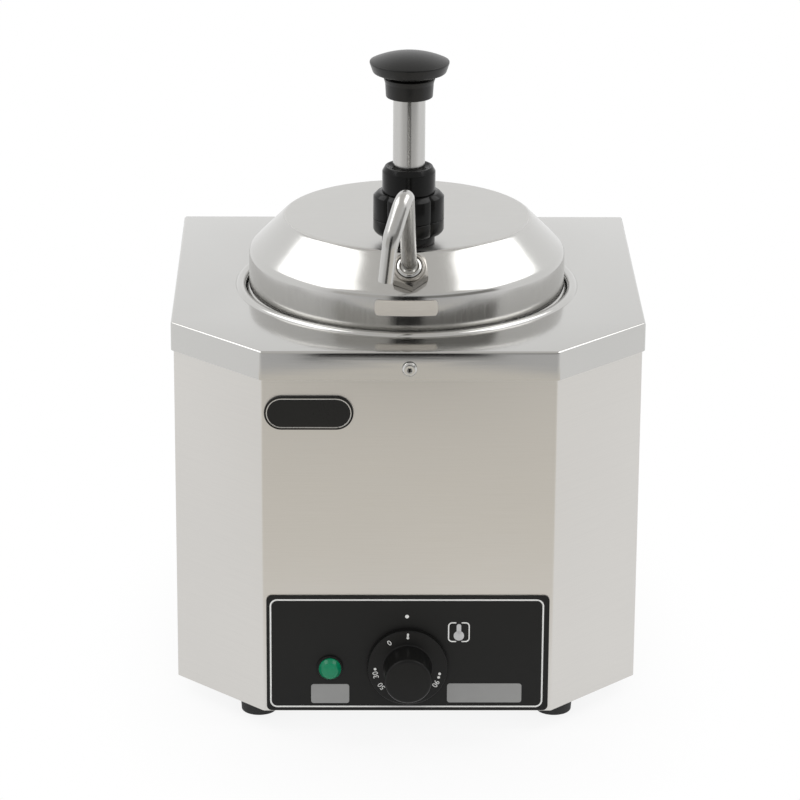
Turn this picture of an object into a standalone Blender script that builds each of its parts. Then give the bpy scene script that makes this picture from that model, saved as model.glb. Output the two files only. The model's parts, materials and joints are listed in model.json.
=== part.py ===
"""Countertop topping warmer: a heated water well with a lift out pot, a lid and a hand pump.

The front faces -Y, the feet stand on z = 0, and the whole object's box is centred on the origin.
Heights are measured from the table, and places in the plan from the middle of the top cover.
"""
import math

import bmesh
import bpy
from mathutils import Vector

MM = 0.001

# Shared clearances and mesh settings
GAP = 0.3 * MM
OVERRUN = 3.0 * MM
MERGE = 0.01 * MM
FINE_STEPS = 40
KNOB_STEPS = 32
ROUND_STEPS = 24
SMALL_STEPS = 16
SCREW_STEPS = 12
ROLL_STEPS = 3
FOLD_STEPS = 2

# Top cover: a plate with two cut front corners, a skirt and a drawn recess for the pot
COVER_WIDTH = 270.0 * MM
COVER_DEPTH = 259.0 * MM
COVER_CORNER_CUT = 52.0 * MM
COVER_TOP_Z = 230.0 * MM
COVER_SKIRT = 16.8 * MM
COVER_SHEET = 1.2 * MM
COVER_FOLD = 1.6 * MM
POT_CENTRE_Y = -4.0 * MM
RECESS_FRONT_MARGIN = 25.5 * MM
RECESS_ROLL = 5.0 * MM
RECESS_WALL = 1.0 * MM
LEDGE_WIDTH = 8.0 * MM

# Body: a folded wrapper, a rear panel and a base tray
BODY_CLEARANCE = 0.4 * MM
BODY_SHEET = 1.0 * MM
BODY_FOLD = 1.6 * MM
BODY_RETURN = 14.0 * MM
REAR_SHEET = 1.0 * MM
BASE_FLANGE = 9.0 * MM
VENT_COUNT = 5
VENT_LENGTH = 46.0 * MM
VENT_WIDTH = 3.0 * MM
VENT_PITCH = 8.0 * MM
REAR_VENT_DROP = 52.0 * MM

# Feet and their screws
FOOT_HEIGHT = 12.0 * MM
FOOT_RADIUS = 11.0 * MM
FOOT_TAPER = 0.8 * MM
FOOT_SIDE_INSET = 49.5 * MM
FOOT_END_INSET = 31.5 * MM
FOOT_RECESS_CLEARANCE = 1.0 * MM
FOOT_RECESS_DEPTH = 6.0 * MM
FOOT_SCREW_HEAD_RADIUS = 3.8 * MM
FOOT_SCREW_HEAD = 2.4 * MM
FOOT_SCREW_RADIUS = 2.0 * MM
FOOT_SCREW_RISE = 5.0 * MM

# Cover screws
COVER_SCREW_HEAD_RADIUS = 4.2 * MM
COVER_SCREW_HEAD = 2.0 * MM
COVER_SCREW_RADIUS = 2.0 * MM
COVER_SCREW_LENGTH = 7.0 * MM
COVER_SCREW_DROP = 10.0 * MM
SOCKET_RADIUS = 1.3 * MM
SOCKET_DEPTH = 1.0 * MM
SCREW_CROWN_SHARE = 0.7
SCREW_EDGE_SHARE = 0.45

# Control panel and front badge
PANEL_SIDE_MARGIN = 2.5 * MM
PANEL_HEIGHT = 70.8 * MM
PANEL_EDGE = 0.6 * MM
PANEL_THICKNESS = 0.8 * MM
PANEL_CORNER = 3.0 * MM
BADGE_WIDTH = 50.0 * MM
BADGE_HEIGHT = 19.6 * MM
BADGE_THICKNESS = 1.2 * MM
BADGE_INSET = 26.8 * MM
BADGE_DROP = 36.3 * MM

# Pilot lamp
LAMP_SPACING = 21.5 * MM
LAMP_DROP = 1.5 * MM
LAMP_BEZEL_LIP = 1.6 * MM
LAMP_BEZEL_THICKNESS = 1.4 * MM
LAMP_BARREL_RADIUS = 5.8 * MM
LAMP_BARREL_LENGTH = 20.0 * MM
LAMP_WALL = 1.0 * MM
LAMP_BORE_DEPTH = 8.0 * MM
LENS_EDGE = 1.0 * MM
LENS_TAPER = 1.3 * MM
LENS_HEIGHT = 4.6 * MM
LENS_FOOT = 1.0 * MM
LAMP_TAG_WIDTH = 2.8 * MM
LAMP_TAG_THICKNESS = 0.8 * MM
LAMP_TAG_LENGTH = 7.0 * MM
LAMP_TAG_SPACING = 5.0 * MM

# Thermostat, its shaft and the dial knob
THERMOSTAT_LIFT = 3.0 * MM
THERMOSTAT_EAR = 4.0 * MM
THERMOSTAT_HEIGHT = 34.0 * MM
THERMOSTAT_DEPTH = 22.0 * MM
SHAFT_RADIUS = 3.0 * MM
SHAFT_BORE_DEPTH = 12.0 * MM
THERMOSTAT_SCREW_RADIUS = 1.6 * MM
THERMOSTAT_SCREW_LENGTH = 6.0 * MM
THERMOSTAT_SCREW_HEAD_RADIUS = 2.9 * MM
THERMOSTAT_SCREW_HEAD = 1.4 * MM
DIAL_SKIRT_RADIUS = 22.8 * MM
DIAL_SKIRT_THICKNESS = 3.8 * MM
DIAL_SKIRT_EDGE = 0.8 * MM
DIAL_RUN_GAP = 1.0 * MM
DIAL_GRIP_RADIUS = 13.9 * MM
DIAL_GRIP_HEIGHT = 20.0 * MM
DIAL_GRIP_TAPER = 0.5 * MM
DIAL_GRIP_EDGE = 1.6 * MM
DIAL_SKIRT_WALL = 4.3 * MM
DIAL_HOLLOW_CLEARANCE = 1.6 * MM
DIAL_HOLLOW_DEPTH = 2.2 * MM
DIAL_HUB_RADIUS = 5.6 * MM
DIAL_BORE_DEPTH = 15.0 * MM
DIAL_POINTER_WIDTH = 1.6 * MM
DIAL_POINTER_RISE = 0.6 * MM

# Inner pot
POT_LEDGE_CLEARANCE = 4.0 * MM
POT_WALL = 1.0 * MM
POT_FLOOR_Z = 90.3 * MM
POT_FLOOR_FILLET = 10.0 * MM
POT_BEAD_RADIUS = 2.9 * MM
POT_BEAD_CLEARANCE = 1.7 * MM
POT_BEAD_START = 160.0

# Water well, its heater and the clamp
WELL_WALL = 0.8 * MM
WELL_SIDE_CLEARANCE = 4.4 * MM
WELL_FLOOR_CLEARANCE = 8.0 * MM
WELL_FLOOR_FILLET = 8.0 * MM
HEATER_MARGIN = 17.4 * MM
HEATER_THICKNESS = 8.0 * MM
STUD_RADIUS = 3.0 * MM
STUD_TAIL = 3.0 * MM
CLAMP_END_MARGIN = 15.0 * MM
CLAMP_WIDTH = 18.0 * MM
CLAMP_THICKNESS = 4.0 * MM
CLAMP_NUT_FLATS = 10.0 * MM
CLAMP_NUT_HEIGHT = 5.0 * MM
HEATER_POST_RADIUS = 2.5 * MM
HEATER_POST_LENGTH = 9.0 * MM
HEATER_POST_X = 14.0 * MM
HEATER_POST_MARGIN = 30.0 * MM
CUTOUT_RADIUS = 8.0 * MM
CUTOUT_HEIGHT = 9.0 * MM
CUTOUT_FLANGE_RADIUS = 11.0 * MM
CUTOUT_FLANGE = 1.2 * MM
CUTOUT_CLEARANCE = 6.0 * MM
CUTOUT_TAG_SPACING = 8.0 * MM

# Insulation jacket and the thermostat's bulb
JACKET_THICKNESS = 14.0 * MM
JACKET_RISE = 10.7 * MM
JACKET_TOP_CLEARANCE = 3.0 * MM
BULB_RADIUS = 3.0 * MM
BULB_RISE = 12.0 * MM
BULB_TOP_DROP = 37.7 * MM
CAPILLARY_RADIUS = 1.0 * MM

# Mains inlet, terminal block and wires
INLET_X = 62.0 * MM
INLET_RISE = 34.0 * MM
INLET_EAR = 11.5 * MM
INLET_FLANGE_MARGIN = 3.0 * MM
INLET_FLANGE = 2.0 * MM
INLET_BODY_WIDTH = 27.0 * MM
INLET_BODY_HEIGHT = 20.0 * MM
INLET_BODY_DEPTH = 22.0 * MM
INLET_WALL = 2.0 * MM
INLET_SOCKET_DEPTH = 17.0 * MM
INLET_PIN_WIDTH = 2.0 * MM
INLET_PIN_HEIGHT = 4.0 * MM
INLET_PIN_LENGTH = 14.0 * MM
INLET_PIN_SPACING = 7.0 * MM
INLET_PIN_RISE = 4.0 * MM
INLET_SCREW_INSET = 5.0 * MM
SMALL_SCREW_HEAD_RADIUS = 2.8 * MM
SMALL_SCREW_HEAD = 1.6 * MM
SMALL_SCREW_RADIUS = 1.5 * MM
SMALL_SCREW_LENGTH = 7.0 * MM
REAR_SCREW_DROP = 110.0 * MM
BLOCK_WIDTH = 44.0 * MM
BLOCK_DEPTH = 18.0 * MM
BLOCK_HEIGHT = 15.0 * MM
BLOCK_SETBACK = 75.9 * MM
BLOCK_WELL_RADIUS = 3.0 * MM
BLOCK_WELL_DEPTH = 5.0 * MM
BLOCK_WELL_COUNT = 3
BLOCK_WELL_PITCH = 12.0 * MM
WIRE_RADIUS = 1.6 * MM
WIRE_BEND = 8.0 * MM

# Lid
LID_OVERHANG = 1.6 * MM
LID_HEIGHT = 41.6 * MM
LID_SHEET = 1.0 * MM
LID_FLAT_MARGIN = 2.1 * MM
LID_SHOULDER = 5.0 * MM
LID_RIM = 6.0 * MM
LID_HEM = 2.0 * MM
LID_HEM_HEIGHT = 4.0 * MM
PLATE_WIDTH = 35.6 * MM
PLATE_HEIGHT = 9.0 * MM
PLATE_THICKNESS = 0.5 * MM
PLATE_BELOW_RIM = 7.0 * MM
PLATE_X = -1.6 * MM

# Pump
PUMP_WALL_CLEARANCE = 3.0 * MM
CYLINDER_RADIUS = 12.0 * MM
CYLINDER_WALL = 1.4 * MM
PUMP_BASE_RIM = 3.0 * MM
PUMP_BASE_HEIGHT = 4.8 * MM
LOCK_NUT_RIM = 3.4 * MM
LOCK_NUT_HEIGHT = 5.0 * MM
GRIP_WALL = 8.1 * MM
GRIP_LOBES = 4
GRIP_LOBE_DEPTH = 2.0 * MM
GRIP_HEIGHT = 24.6 * MM
GRIP_TOP_CHAMFER = 3.0 * MM
GRIP_BOTTOM_CHAMFER = 2.6 * MM
GRIP_SEAM_HEIGHT = 10.6 * MM
GRIP_SEAM_WIDTH = 0.5 * MM
COLLAR_WALL = 6.0 * MM
COLLAR_HEIGHT = 14.6 * MM
COLLAR_BEVEL = 1.7 * MM
COLLAR_LIP_SLOPE = 1.3 * MM
PLUNGER_CLEARANCE = 1.5 * MM
PLUNGER_WALL = 1.0 * MM
PLUNGER_STROKE = 36.0 * MM
PLUNGER_STOP = 4.2 * MM
KNOB_HUB_WALL = 4.1 * MM
KNOB_HUB_HEIGHT = 9.6 * MM
KNOB_HUB_LIP = 1.5 * MM
KNOB_NECK_WALL = 2.1 * MM
KNOB_NECK_HEIGHT = 4.5 * MM
KNOB_RADIUS = 22.4 * MM
KNOB_SIDE_TAPER = 1.9 * MM
KNOB_SIDE_HEIGHT = 5.5 * MM
KNOB_EDGE = 1.4 * MM
KNOB_RIM_HEIGHT = 0.8 * MM
KNOB_DOME = 5.1 * MM
KNOB_SOCKET = 14.0 * MM
PISTON_HEIGHT = 12.0 * MM
PISTON_CLEARANCE = 0.4 * MM
PISTON_SPIGOT = 10.0 * MM
PISTON_RISE = 70.2 * MM
PISTON_GROOVE = 1.2 * MM
SPRING_CLEARANCE = 2.2 * MM
SPRING_WIRE = 0.8 * MM
SPRING_TURNS = 7
SPRING_POINTS = 10

# Pump foot with its two valve balls
FOOT_FLOOR_CLEARANCE = 3.5 * MM
PUMP_FOOT_WALL = 1.9 * MM
PUMP_SOCKET_DEPTH = 8.0 * MM
INLET_CAGE_CLEARANCE = 1.0 * MM
INLET_SEAT_HEIGHT = 2.4 * MM
INLET_SEAT_RADIUS = 3.0 * MM
INLET_BALL_RADIUS = 4.4 * MM
INLET_BALL_LIFT = 3.0 * MM
CAGE_PIN_RADIUS = 0.8 * MM
OUTLET_WEB = 1.2 * MM
OUTLET_BOSS_WALL = 2.5 * MM
OUTLET_SEAT_RADIUS = 2.2 * MM
OUTLET_SEAT_RISE = 11.0 * MM
OUTLET_CAGE_CLEARANCE = 0.7 * MM
OUTLET_BALL_OVERLAP = 0.3 * MM
OUTLET_BALL_LIFT = 2.8 * MM
PASSAGE_RADIUS = 1.8 * MM
PASSAGE_RISE = 4.0 * MM

# Discharge tube, its fitting through the lid, and the spout
TUBE_RADIUS = 4.2 * MM
TUBE_WALL = 1.2 * MM
TUBE_BEND = 10.0 * MM
UNION_WALL = 2.2 * MM
UNION_RISE = 7.0 * MM
UNION_FLANGE_LIP = 2.0 * MM
UNION_FLANGE = 2.2 * MM
GASKET_THICKNESS = 1.4 * MM
SPOUT_NUT_SHOULDER = 2.1 * MM
SPOUT_NUT_HEX = 6.6 * MM
SPOUT_NUT_WALL = 1.5 * MM
SPOUT_NUT_TAPER = 1.4 * MM
SPOUT_NUT_LIP = 1.4 * MM
SPOUT_NUT_OPENING = 0.9 * MM
FERRULE_STEP = 0.6 * MM
FERRULE_CLEARANCE = 0.8 * MM
FERRULE_HEIGHT = 2.0 * MM
SPOUT_REACH = 101.0 * MM
SPOUT_LEAN = 3.0 * MM
SPOUT_SLANT = 26.56 * MM
SPOUT_DROP = 27.6 * MM
SPOUT_SLANT_PITCH = 55.0
SPOUT_SLANT_YAW = 32.0
SPOUT_DROP_LEAN = 6.2
SPOUT_BEND = 14.0 * MM
BEND_STEPS = 6

# Case: radii, heights and places that follow from the sizes above
RECESS_RADIUS = COVER_DEPTH / 2 + POT_CENTRE_Y - RECESS_FRONT_MARGIN
RECESS_DEPTH = RECESS_ROLL + RECESS_WALL
COVER_UNDER_Z = COVER_TOP_Z - COVER_SHEET
LEDGE_Z = COVER_TOP_Z - RECESS_DEPTH
LEDGE_OUTER = RECESS_RADIUS - RECESS_ROLL
LEDGE_INNER = LEDGE_OUTER - LEDGE_WIDTH
BODY_INSET = COVER_SHEET + BODY_CLEARANCE
BODY_BOTTOM_Z = FOOT_HEIGHT
BODY_TOP_Z = COVER_UNDER_Z - GAP
BODY_FRONT_Y = -COVER_DEPTH / 2 + BODY_INSET
REAR_OUTER_Y = COVER_DEPTH / 2 - BODY_INSET
RETURN_Y = REAR_OUTER_Y - REAR_SHEET - GAP
REAR_SCREW_EDGE = BODY_RETURN / 2
REAR_SCREW_Z = COVER_TOP_Z - REAR_SCREW_DROP
REAR_VENT_Z = COVER_TOP_Z - REAR_VENT_DROP
BASE_TOP_Z = BODY_BOTTOM_Z + BODY_SHEET
FOOT_X = COVER_WIDTH / 2 - FOOT_SIDE_INSET
FOOT_Y = COVER_DEPTH / 2 - FOOT_END_INSET
FOOT_RECESS_RADIUS = FOOT_SCREW_HEAD_RADIUS + FOOT_RECESS_CLEARANCE
PANEL_WIDTH = COVER_WIDTH - 2 * (COVER_CORNER_CUT + PANEL_SIDE_MARGIN)
PANEL_BOTTOM_Z = BODY_BOTTOM_Z + PANEL_EDGE
PANEL_FRONT_Y = BODY_FRONT_Y - GAP - PANEL_THICKNESS
BADGE_X = COVER_CORNER_CUT - COVER_WIDTH / 2 + BADGE_INSET
BADGE_Z = COVER_TOP_Z - BADGE_DROP

# Controls: the dial's hollow holds the thermostat's screws, and the lamp stands beside the dial
DIAL_HOLLOW_RADIUS = DIAL_SKIRT_RADIUS - DIAL_SKIRT_WALL
THERMOSTAT_SCREW_SPACING = 2 * (DIAL_HOLLOW_RADIUS - THERMOSTAT_SCREW_HEAD_RADIUS - DIAL_HOLLOW_CLEARANCE)
THERMOSTAT_WIDTH = THERMOSTAT_SCREW_SPACING + 2 * THERMOSTAT_EAR
THERMOSTAT_FRONT_Y = BODY_FRONT_Y + BODY_SHEET + GAP
THERMOSTAT_REAR_Y = THERMOSTAT_FRONT_Y + THERMOSTAT_DEPTH
DIAL_Z = BODY_BOTTOM_Z + BASE_FLANGE + THERMOSTAT_LIFT + THERMOSTAT_HEIGHT / 2
DIAL_BACK_Y = PANEL_FRONT_Y - DIAL_RUN_GAP
LAMP_X = -DIAL_SKIRT_RADIUS - LAMP_SPACING
LAMP_Z = DIAL_Z - LAMP_DROP
LAMP_BEZEL_RADIUS = LAMP_BARREL_RADIUS + LAMP_BEZEL_LIP
LAMP_BORE_RADIUS = LAMP_BARREL_RADIUS - LAMP_WALL
LENS_BASE_RADIUS = LAMP_BEZEL_RADIUS - LENS_EDGE
LENS_FACE_RADIUS = LENS_BASE_RADIUS - LENS_TAPER
INLET_Z = BODY_BOTTOM_Z + INLET_RISE
INLET_FLANGE_WIDTH = INLET_BODY_WIDTH + 2 * INLET_EAR
INLET_FLANGE_HEIGHT = INLET_BODY_HEIGHT + 2 * INLET_FLANGE_MARGIN
INLET_SCREW_SPACING = INLET_FLANGE_WIDTH - 2 * INLET_SCREW_INSET
BLOCK_Y = REAR_OUTER_Y - BLOCK_SETBACK

# Pot, well and heater, each from the ledge inwards and downwards
FLANGE_Z = LEDGE_Z + GAP
POT_RADIUS = LEDGE_INNER - POT_LEDGE_CLEARANCE - POT_WALL
POT_BEAD_RING = LEDGE_OUTER - POT_BEAD_CLEARANCE - POT_BEAD_RADIUS
POT_BEAD_Z = FLANGE_Z + POT_BEAD_RADIUS
WELL_TOP_Z = LEDGE_Z - COVER_SHEET - GAP
WELL_FLOOR_Z = POT_FLOOR_Z - POT_WALL - WELL_FLOOR_CLEARANCE
WELL_RADIUS = POT_RADIUS + POT_WALL + WELL_SIDE_CLEARANCE
WELL_OUTER = WELL_RADIUS + WELL_WALL
HEATER_RADIUS = WELL_RADIUS - HEATER_MARGIN
HEATER_TOP_Z = WELL_FLOOR_Z - WELL_WALL - GAP
HEATER_BOTTOM_Z = HEATER_TOP_Z - HEATER_THICKNESS
HEATER_POST_Y = HEATER_POST_MARGIN - HEATER_RADIUS
CLAMP_LENGTH = 2 * (HEATER_RADIUS - CLAMP_END_MARGIN)
CLAMP_TOP_Z = HEATER_BOTTOM_Z - GAP
CLAMP_BOTTOM_Z = CLAMP_TOP_Z - CLAMP_THICKNESS
NUT_TOP_Z = CLAMP_BOTTOM_Z - GAP
CUTOUT_Y = CLAMP_WIDTH / 2 + CUTOUT_FLANGE_RADIUS + CUTOUT_CLEARANCE
JACKET_BOTTOM_Z = WELL_FLOOR_Z + JACKET_RISE
BULB_RING = WELL_OUTER + GAP + BULB_RADIUS
BULB_BOTTOM_Z = JACKET_BOTTOM_Z + BULB_RISE
BULB_LENGTH = WELL_TOP_Z - WELL_WALL - BULB_TOP_DROP - BULB_BOTTOM_Z

# Pump: bores and walls from the cylinder outwards, then its place inside the pot's wall
CYLINDER_BORE = CYLINDER_RADIUS - CYLINDER_WALL
PLUNGER_RADIUS = CYLINDER_BORE - PLUNGER_CLEARANCE
SPRING_RADIUS = CYLINDER_BORE - SPRING_CLEARANCE - SPRING_WIRE
PUMP_BASE_RADIUS = CYLINDER_RADIUS + PUMP_BASE_RIM
LOCK_NUT_RADIUS = CYLINDER_RADIUS + LOCK_NUT_RIM
GRIP_RADIUS = CYLINDER_RADIUS + GRIP_WALL
COLLAR_RADIUS = PLUNGER_RADIUS + COLLAR_WALL
KNOB_HUB_RADIUS = PLUNGER_RADIUS + KNOB_HUB_WALL
KNOB_NECK_RADIUS = PLUNGER_RADIUS + KNOB_NECK_WALL
PUMP_FOOT_RADIUS = CYLINDER_RADIUS + GAP + PUMP_FOOT_WALL
TUBE_BORE = TUBE_RADIUS - TUBE_WALL
OUTLET_BOSS_RADIUS = TUBE_RADIUS + GAP + OUTLET_BOSS_WALL
OUTLET_SPACING = CYLINDER_RADIUS + OUTLET_WEB + TUBE_RADIUS + 2 * GAP
PUMP_Y = POT_CENTRE_Y - POT_RADIUS + PUMP_WALL_CLEARANCE + OUTLET_BOSS_RADIUS + OUTLET_SPACING
OUTLET_Y = PUMP_Y - OUTLET_SPACING
INLET_CAGE_RADIUS = INLET_BALL_RADIUS + INLET_CAGE_CLEARANCE
OUTLET_BALL_RADIUS = TUBE_BORE + OUTLET_BALL_OVERLAP
OUTLET_CAGE_RADIUS = OUTLET_BALL_RADIUS + OUTLET_CAGE_CLEARANCE

# Lid: it stands on the pot's bead, and its flat top reaches just past the pump's nut
LID_RADIUS = POT_BEAD_RING + LID_OVERHANG
LID_BOTTOM_Z = POT_BEAD_Z + POT_BEAD_RADIUS + GAP
LID_TOP_Z = LID_BOTTOM_Z + LID_HEIGHT
LID_UNDER_Z = LID_TOP_Z - LID_SHEET
LID_SHOULDER_RADIUS = POT_CENTRE_Y - PUMP_Y + LOCK_NUT_RADIUS + LID_FLAT_MARGIN
LID_SLOPE = LID_RADIUS - LID_SHOULDER_RADIUS
LID_RIM_Z = LID_TOP_Z - LID_SLOPE

# Pump heights: the foot upwards with its two valve balls, and the head upwards from the lid
PUMP_FOOT_Z = POT_FLOOR_Z + FOOT_FLOOR_CLEARANCE
INLET_SEAT_Z = PUMP_FOOT_Z + INLET_SEAT_HEIGHT
INLET_BALL_Z = INLET_SEAT_Z + math.sqrt(INLET_BALL_RADIUS ** 2 - INLET_SEAT_RADIUS ** 2) + GAP
OUTLET_SEAT_Z = PUMP_FOOT_Z + OUTLET_SEAT_RISE
OUTLET_BALL_Z = OUTLET_SEAT_Z + math.sqrt(OUTLET_BALL_RADIUS ** 2 - OUTLET_SEAT_RADIUS ** 2) + GAP
OUTLET_STOP_RISE = math.sqrt(OUTLET_BALL_RADIUS ** 2 - TUBE_BORE ** 2)
PUMP_SEAT_Z = OUTLET_BALL_Z + OUTLET_BALL_LIFT + OUTLET_STOP_RISE
TUBE_START_Z = PUMP_SEAT_Z + GAP
PUMP_FOOT_TOP_Z = PUMP_SEAT_Z + PUMP_SOCKET_DEPTH
PISTON_REST_Z = PUMP_SEAT_Z + PISTON_RISE
PISTON_TOP_Z = PISTON_REST_Z + PISTON_HEIGHT
PUMP_BASE_Z = LID_TOP_Z + GAP
GRIP_Z = PUMP_BASE_Z + PUMP_BASE_HEIGHT + GAP
COLLAR_Z = GRIP_Z + GRIP_HEIGHT + GAP
COLLAR_TOP_Z = COLLAR_Z + COLLAR_HEIGHT
HUB_Z = COLLAR_TOP_Z + PLUNGER_STROKE + PLUNGER_STOP
KNOB_LIP_Z = HUB_Z + KNOB_HUB_HEIGHT
KNOB_UNDER_Z = KNOB_LIP_Z + KNOB_NECK_HEIGHT
KNOB_RIM_Z = KNOB_UNDER_Z + KNOB_SIDE_HEIGHT
KNOB_TOP_Z = KNOB_RIM_Z + KNOB_RIM_HEIGHT + KNOB_DOME

# Spout fitting, on the axis that stands square on the lid's slope
UNION_RADIUS = TUBE_RADIUS + UNION_WALL
UNION_FLANGE_RADIUS = UNION_RADIUS + UNION_FLANGE_LIP
FERRULE_RADIUS = UNION_RADIUS - FERRULE_STEP
SPOUT_NUT_RADIUS = UNION_RADIUS + SPOUT_NUT_WALL
SPOUT_NUT_FLATS = 2 * (SPOUT_NUT_RADIUS + SPOUT_NUT_SHOULDER)
SPOUT_NUT_TOP = UNION_RISE + GAP + FERRULE_HEIGHT + FERRULE_CLEARANCE + SPOUT_NUT_LIP
SLOPE_DIRECTION = Vector((0, -1, 1)).normalized()
FITTING_POINT = Vector((0, POT_CENTRE_Y - LID_RADIUS + LID_SLOPE / 2, LID_TOP_Z - LID_SLOPE / 2))

PART = bpy.data.collections.new("topping_warmer")
CUTTERS = bpy.data.collections.new("cutters")
MATERIALS = {}


def clear_scene():
    """Start from an empty scene and link the two collections."""
    for obj in list(bpy.data.objects):
        bpy.data.objects.remove(obj, do_unlink=True)
    for collection in (PART, CUTTERS):
        bpy.context.scene.collection.children.link(collection)


def make_materials():
    """One Principled material for each kind of surface."""
    looks = {
        "brushed_steel": ((0.62, 0.61, 0.58), 0.38, 1.0),
        "polished_steel": ((0.78, 0.78, 0.77), 0.16, 1.0),
        "galvanised_steel": ((0.50, 0.51, 0.52), 0.50, 1.0),
        "black_plastic": ((0.018, 0.018, 0.018), 0.38, 0.0),
        "panel_black": ((0.022, 0.022, 0.020), 0.55, 0.0),
        "black_rubber": ((0.02, 0.02, 0.02), 0.85, 0.0),
        "green_lens": ((0.01, 0.22, 0.10), 0.20, 0.0),
        "blank_plate": ((0.55, 0.54, 0.50), 0.45, 0.0),
        "aluminium": ((0.66, 0.66, 0.67), 0.45, 1.0),
        "copper": ((0.72, 0.38, 0.22), 0.30, 1.0),
        "white_ceramic": ((0.82, 0.81, 0.76), 0.60, 0.0),
        "insulation": ((0.74, 0.70, 0.56), 0.95, 0.0),
        "white_seal": ((0.85, 0.85, 0.83), 0.60, 0.0),
    }
    for name, (colour, roughness, metallic) in looks.items():
        material = bpy.data.materials.new(name)
        material.use_nodes = True
        shader = material.node_tree.nodes["Principled BSDF"]
        shader.inputs["Base Color"].default_value = (*colour, 1.0)
        shader.inputs["Roughness"].default_value = roughness
        shader.inputs["Metallic"].default_value = metallic
        material.diffuse_color = (*colour, 1.0)
        MATERIALS[name] = material


def empty(name, parent=None, location=(0, 0, 0)):
    """A bare frame that carries the pieces of one moving body."""
    frame = bpy.data.objects.new(name, None)
    frame.empty_display_size = FOOT_RADIUS
    PART.objects.link(frame)
    frame.parent = parent
    frame.location = location
    return frame


def add(name, data, material, parent, location=(0, 0, 0), rotation=(0, 0, 0)):
    """Link one named piece, with its material, under its body's frame."""
    obj = bpy.data.objects.new(name, data)
    PART.objects.link(obj)
    data.materials.append(MATERIALS[material])
    obj.parent = parent
    obj.location = location
    obj.rotation_euler = rotation
    return obj


def finish_mesh(name, work):
    """Turn a bmesh into a mesh data block."""
    data = bpy.data.meshes.new(name)
    work.to_mesh(data)
    work.free()
    return data


def aim(direction):
    """Rotation that turns +Z to the given direction."""
    return Vector(direction).to_track_quat("Z", "Y").to_euler()


FORWARD = aim((0, -1, 0))


def box_mesh(name, size, corner=0.0, axis=None):
    """A box about its middle; edges along one axis can be rounded."""
    work = bmesh.new()
    bmesh.ops.create_cube(work, size=1.0)
    bmesh.ops.scale(work, vec=Vector(size), verts=work.verts)
    if corner > 0:
        edges = [edge for edge in work.edges
                 if abs((edge.verts[0].co - edge.verts[1].co)[axis]) > MERGE]
        bmesh.ops.bevel(work, geom=edges, offset=corner, segments=4, profile=0.5, affect="EDGES")
    return finish_mesh(name, work)


def cylinder_mesh(name, radius, length, steps=ROUND_STEPS, top_radius=None):
    """A cylinder or a cone about its middle, along Z."""
    work = bmesh.new()
    end = radius if top_radius is None else top_radius
    bmesh.ops.create_cone(work, cap_ends=True, segments=steps, radius1=radius, radius2=end, depth=length)
    data = finish_mesh(name, work)
    if steps > 8:
        data.shade_smooth()
        data.set_sharp_from_angle(angle=math.radians(35))
    return data


def turned(name, outline, material, parent, location=(0, 0, 0), rotation=(0, 0, 0), steps=ROUND_STEPS):
    """Turn an outline of (radius, height) points, which runs down its outer side, about Z."""
    count = len(outline)
    edges = [(i, i + 1) for i in range(count - 1)]
    if outline[0][0] > 0:
        edges.append((count - 1, 0))
    data = bpy.data.meshes.new(name)
    data.from_pydata([(radius, 0, height) for radius, height in outline], edges, [])
    obj = add(name, data, material, parent, location, rotation)
    screw = obj.modifiers.new("Turn", "SCREW")
    screw.axis = "Z"
    screw.angle = 2 * math.pi
    screw.steps = steps
    screw.render_steps = steps
    screw.use_merge_vertices = True
    screw.merge_threshold = MERGE
    screw.use_smooth_shade = True
    return obj


def ring_outline(outer, inner, low, high):
    """Outline of a plain ring."""
    return [(outer, high), (outer, low), (inner, low), (inner, high)]


def arc(centre, radius, start, end, count):
    """Points on a round stretch; angles in degrees from +radius towards +height."""
    points = []
    for i in range(count + 1):
        angle = math.radians(start + (end - start) * i / count)
        points.append((centre[0] + radius * math.cos(angle), centre[1] + radius * math.sin(angle)))
    return points


def cut(target, data, location=(0, 0, 0), rotation=(0, 0, 0), operation="DIFFERENCE"):
    """Boolean a mesh into a piece; the tool object shares the piece's parent."""
    tool = bpy.data.objects.new(target.name + "_tool", data)
    CUTTERS.objects.link(tool)
    tool.parent = target.parent
    tool.location = location
    tool.rotation_euler = rotation
    tool.hide_render = True
    tool.display_type = "WIRE"
    boolean = target.modifiers.new(operation.title(), "BOOLEAN")
    boolean.operation = operation
    boolean.object = tool
    boolean.solver = "EXACT"
    return tool


def drill(target, radius, length, location, direction=(0, 0, 1), steps=SMALL_STEPS):
    """Cut a round hole centred on a place, along a direction."""
    data = cylinder_mesh(target.name + "_drill", radius, length, steps)
    cut(target, data, location, aim(direction))


def join(target, data, location=(0, 0, 0), rotation=(0, 0, 0)):
    """Boolean union of a mesh with a piece."""
    cut(target, data, location, rotation, "UNION")


def solidify(obj, thickness):
    """Give an open surface its sheet thickness, away from its outer side."""
    shell = obj.modifiers.new("Sheet", "SOLIDIFY")
    shell.thickness = thickness
    shell.offset = -1.0
    shell.use_even_offset = True


def plan_outline(inset):
    """Corners of the plan, set in from the cover's edge, from the rear left round the front."""
    half = COVER_WIDTH / 2 - inset
    front = -COVER_DEPTH / 2 + inset
    rear = COVER_DEPTH / 2 - inset
    corner = COVER_CORNER_CUT - inset * (2 - math.sqrt(2))
    return [(-half, rear), (-half, front + corner), (-half + corner, front),
            (half - corner, front), (half, front + corner), (half, rear)]


def face_outward(work, direction):
    """Make all faces of an open sheet agree, with its largest flat face along a direction."""
    bmesh.ops.recalc_face_normals(work, faces=work.faces)
    largest = max(work.faces, key=lambda face: abs(face.normal.dot(direction)) * face.calc_area())
    if largest.normal.dot(direction) < 0:
        bmesh.ops.reverse_faces(work, faces=work.faces)


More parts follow.
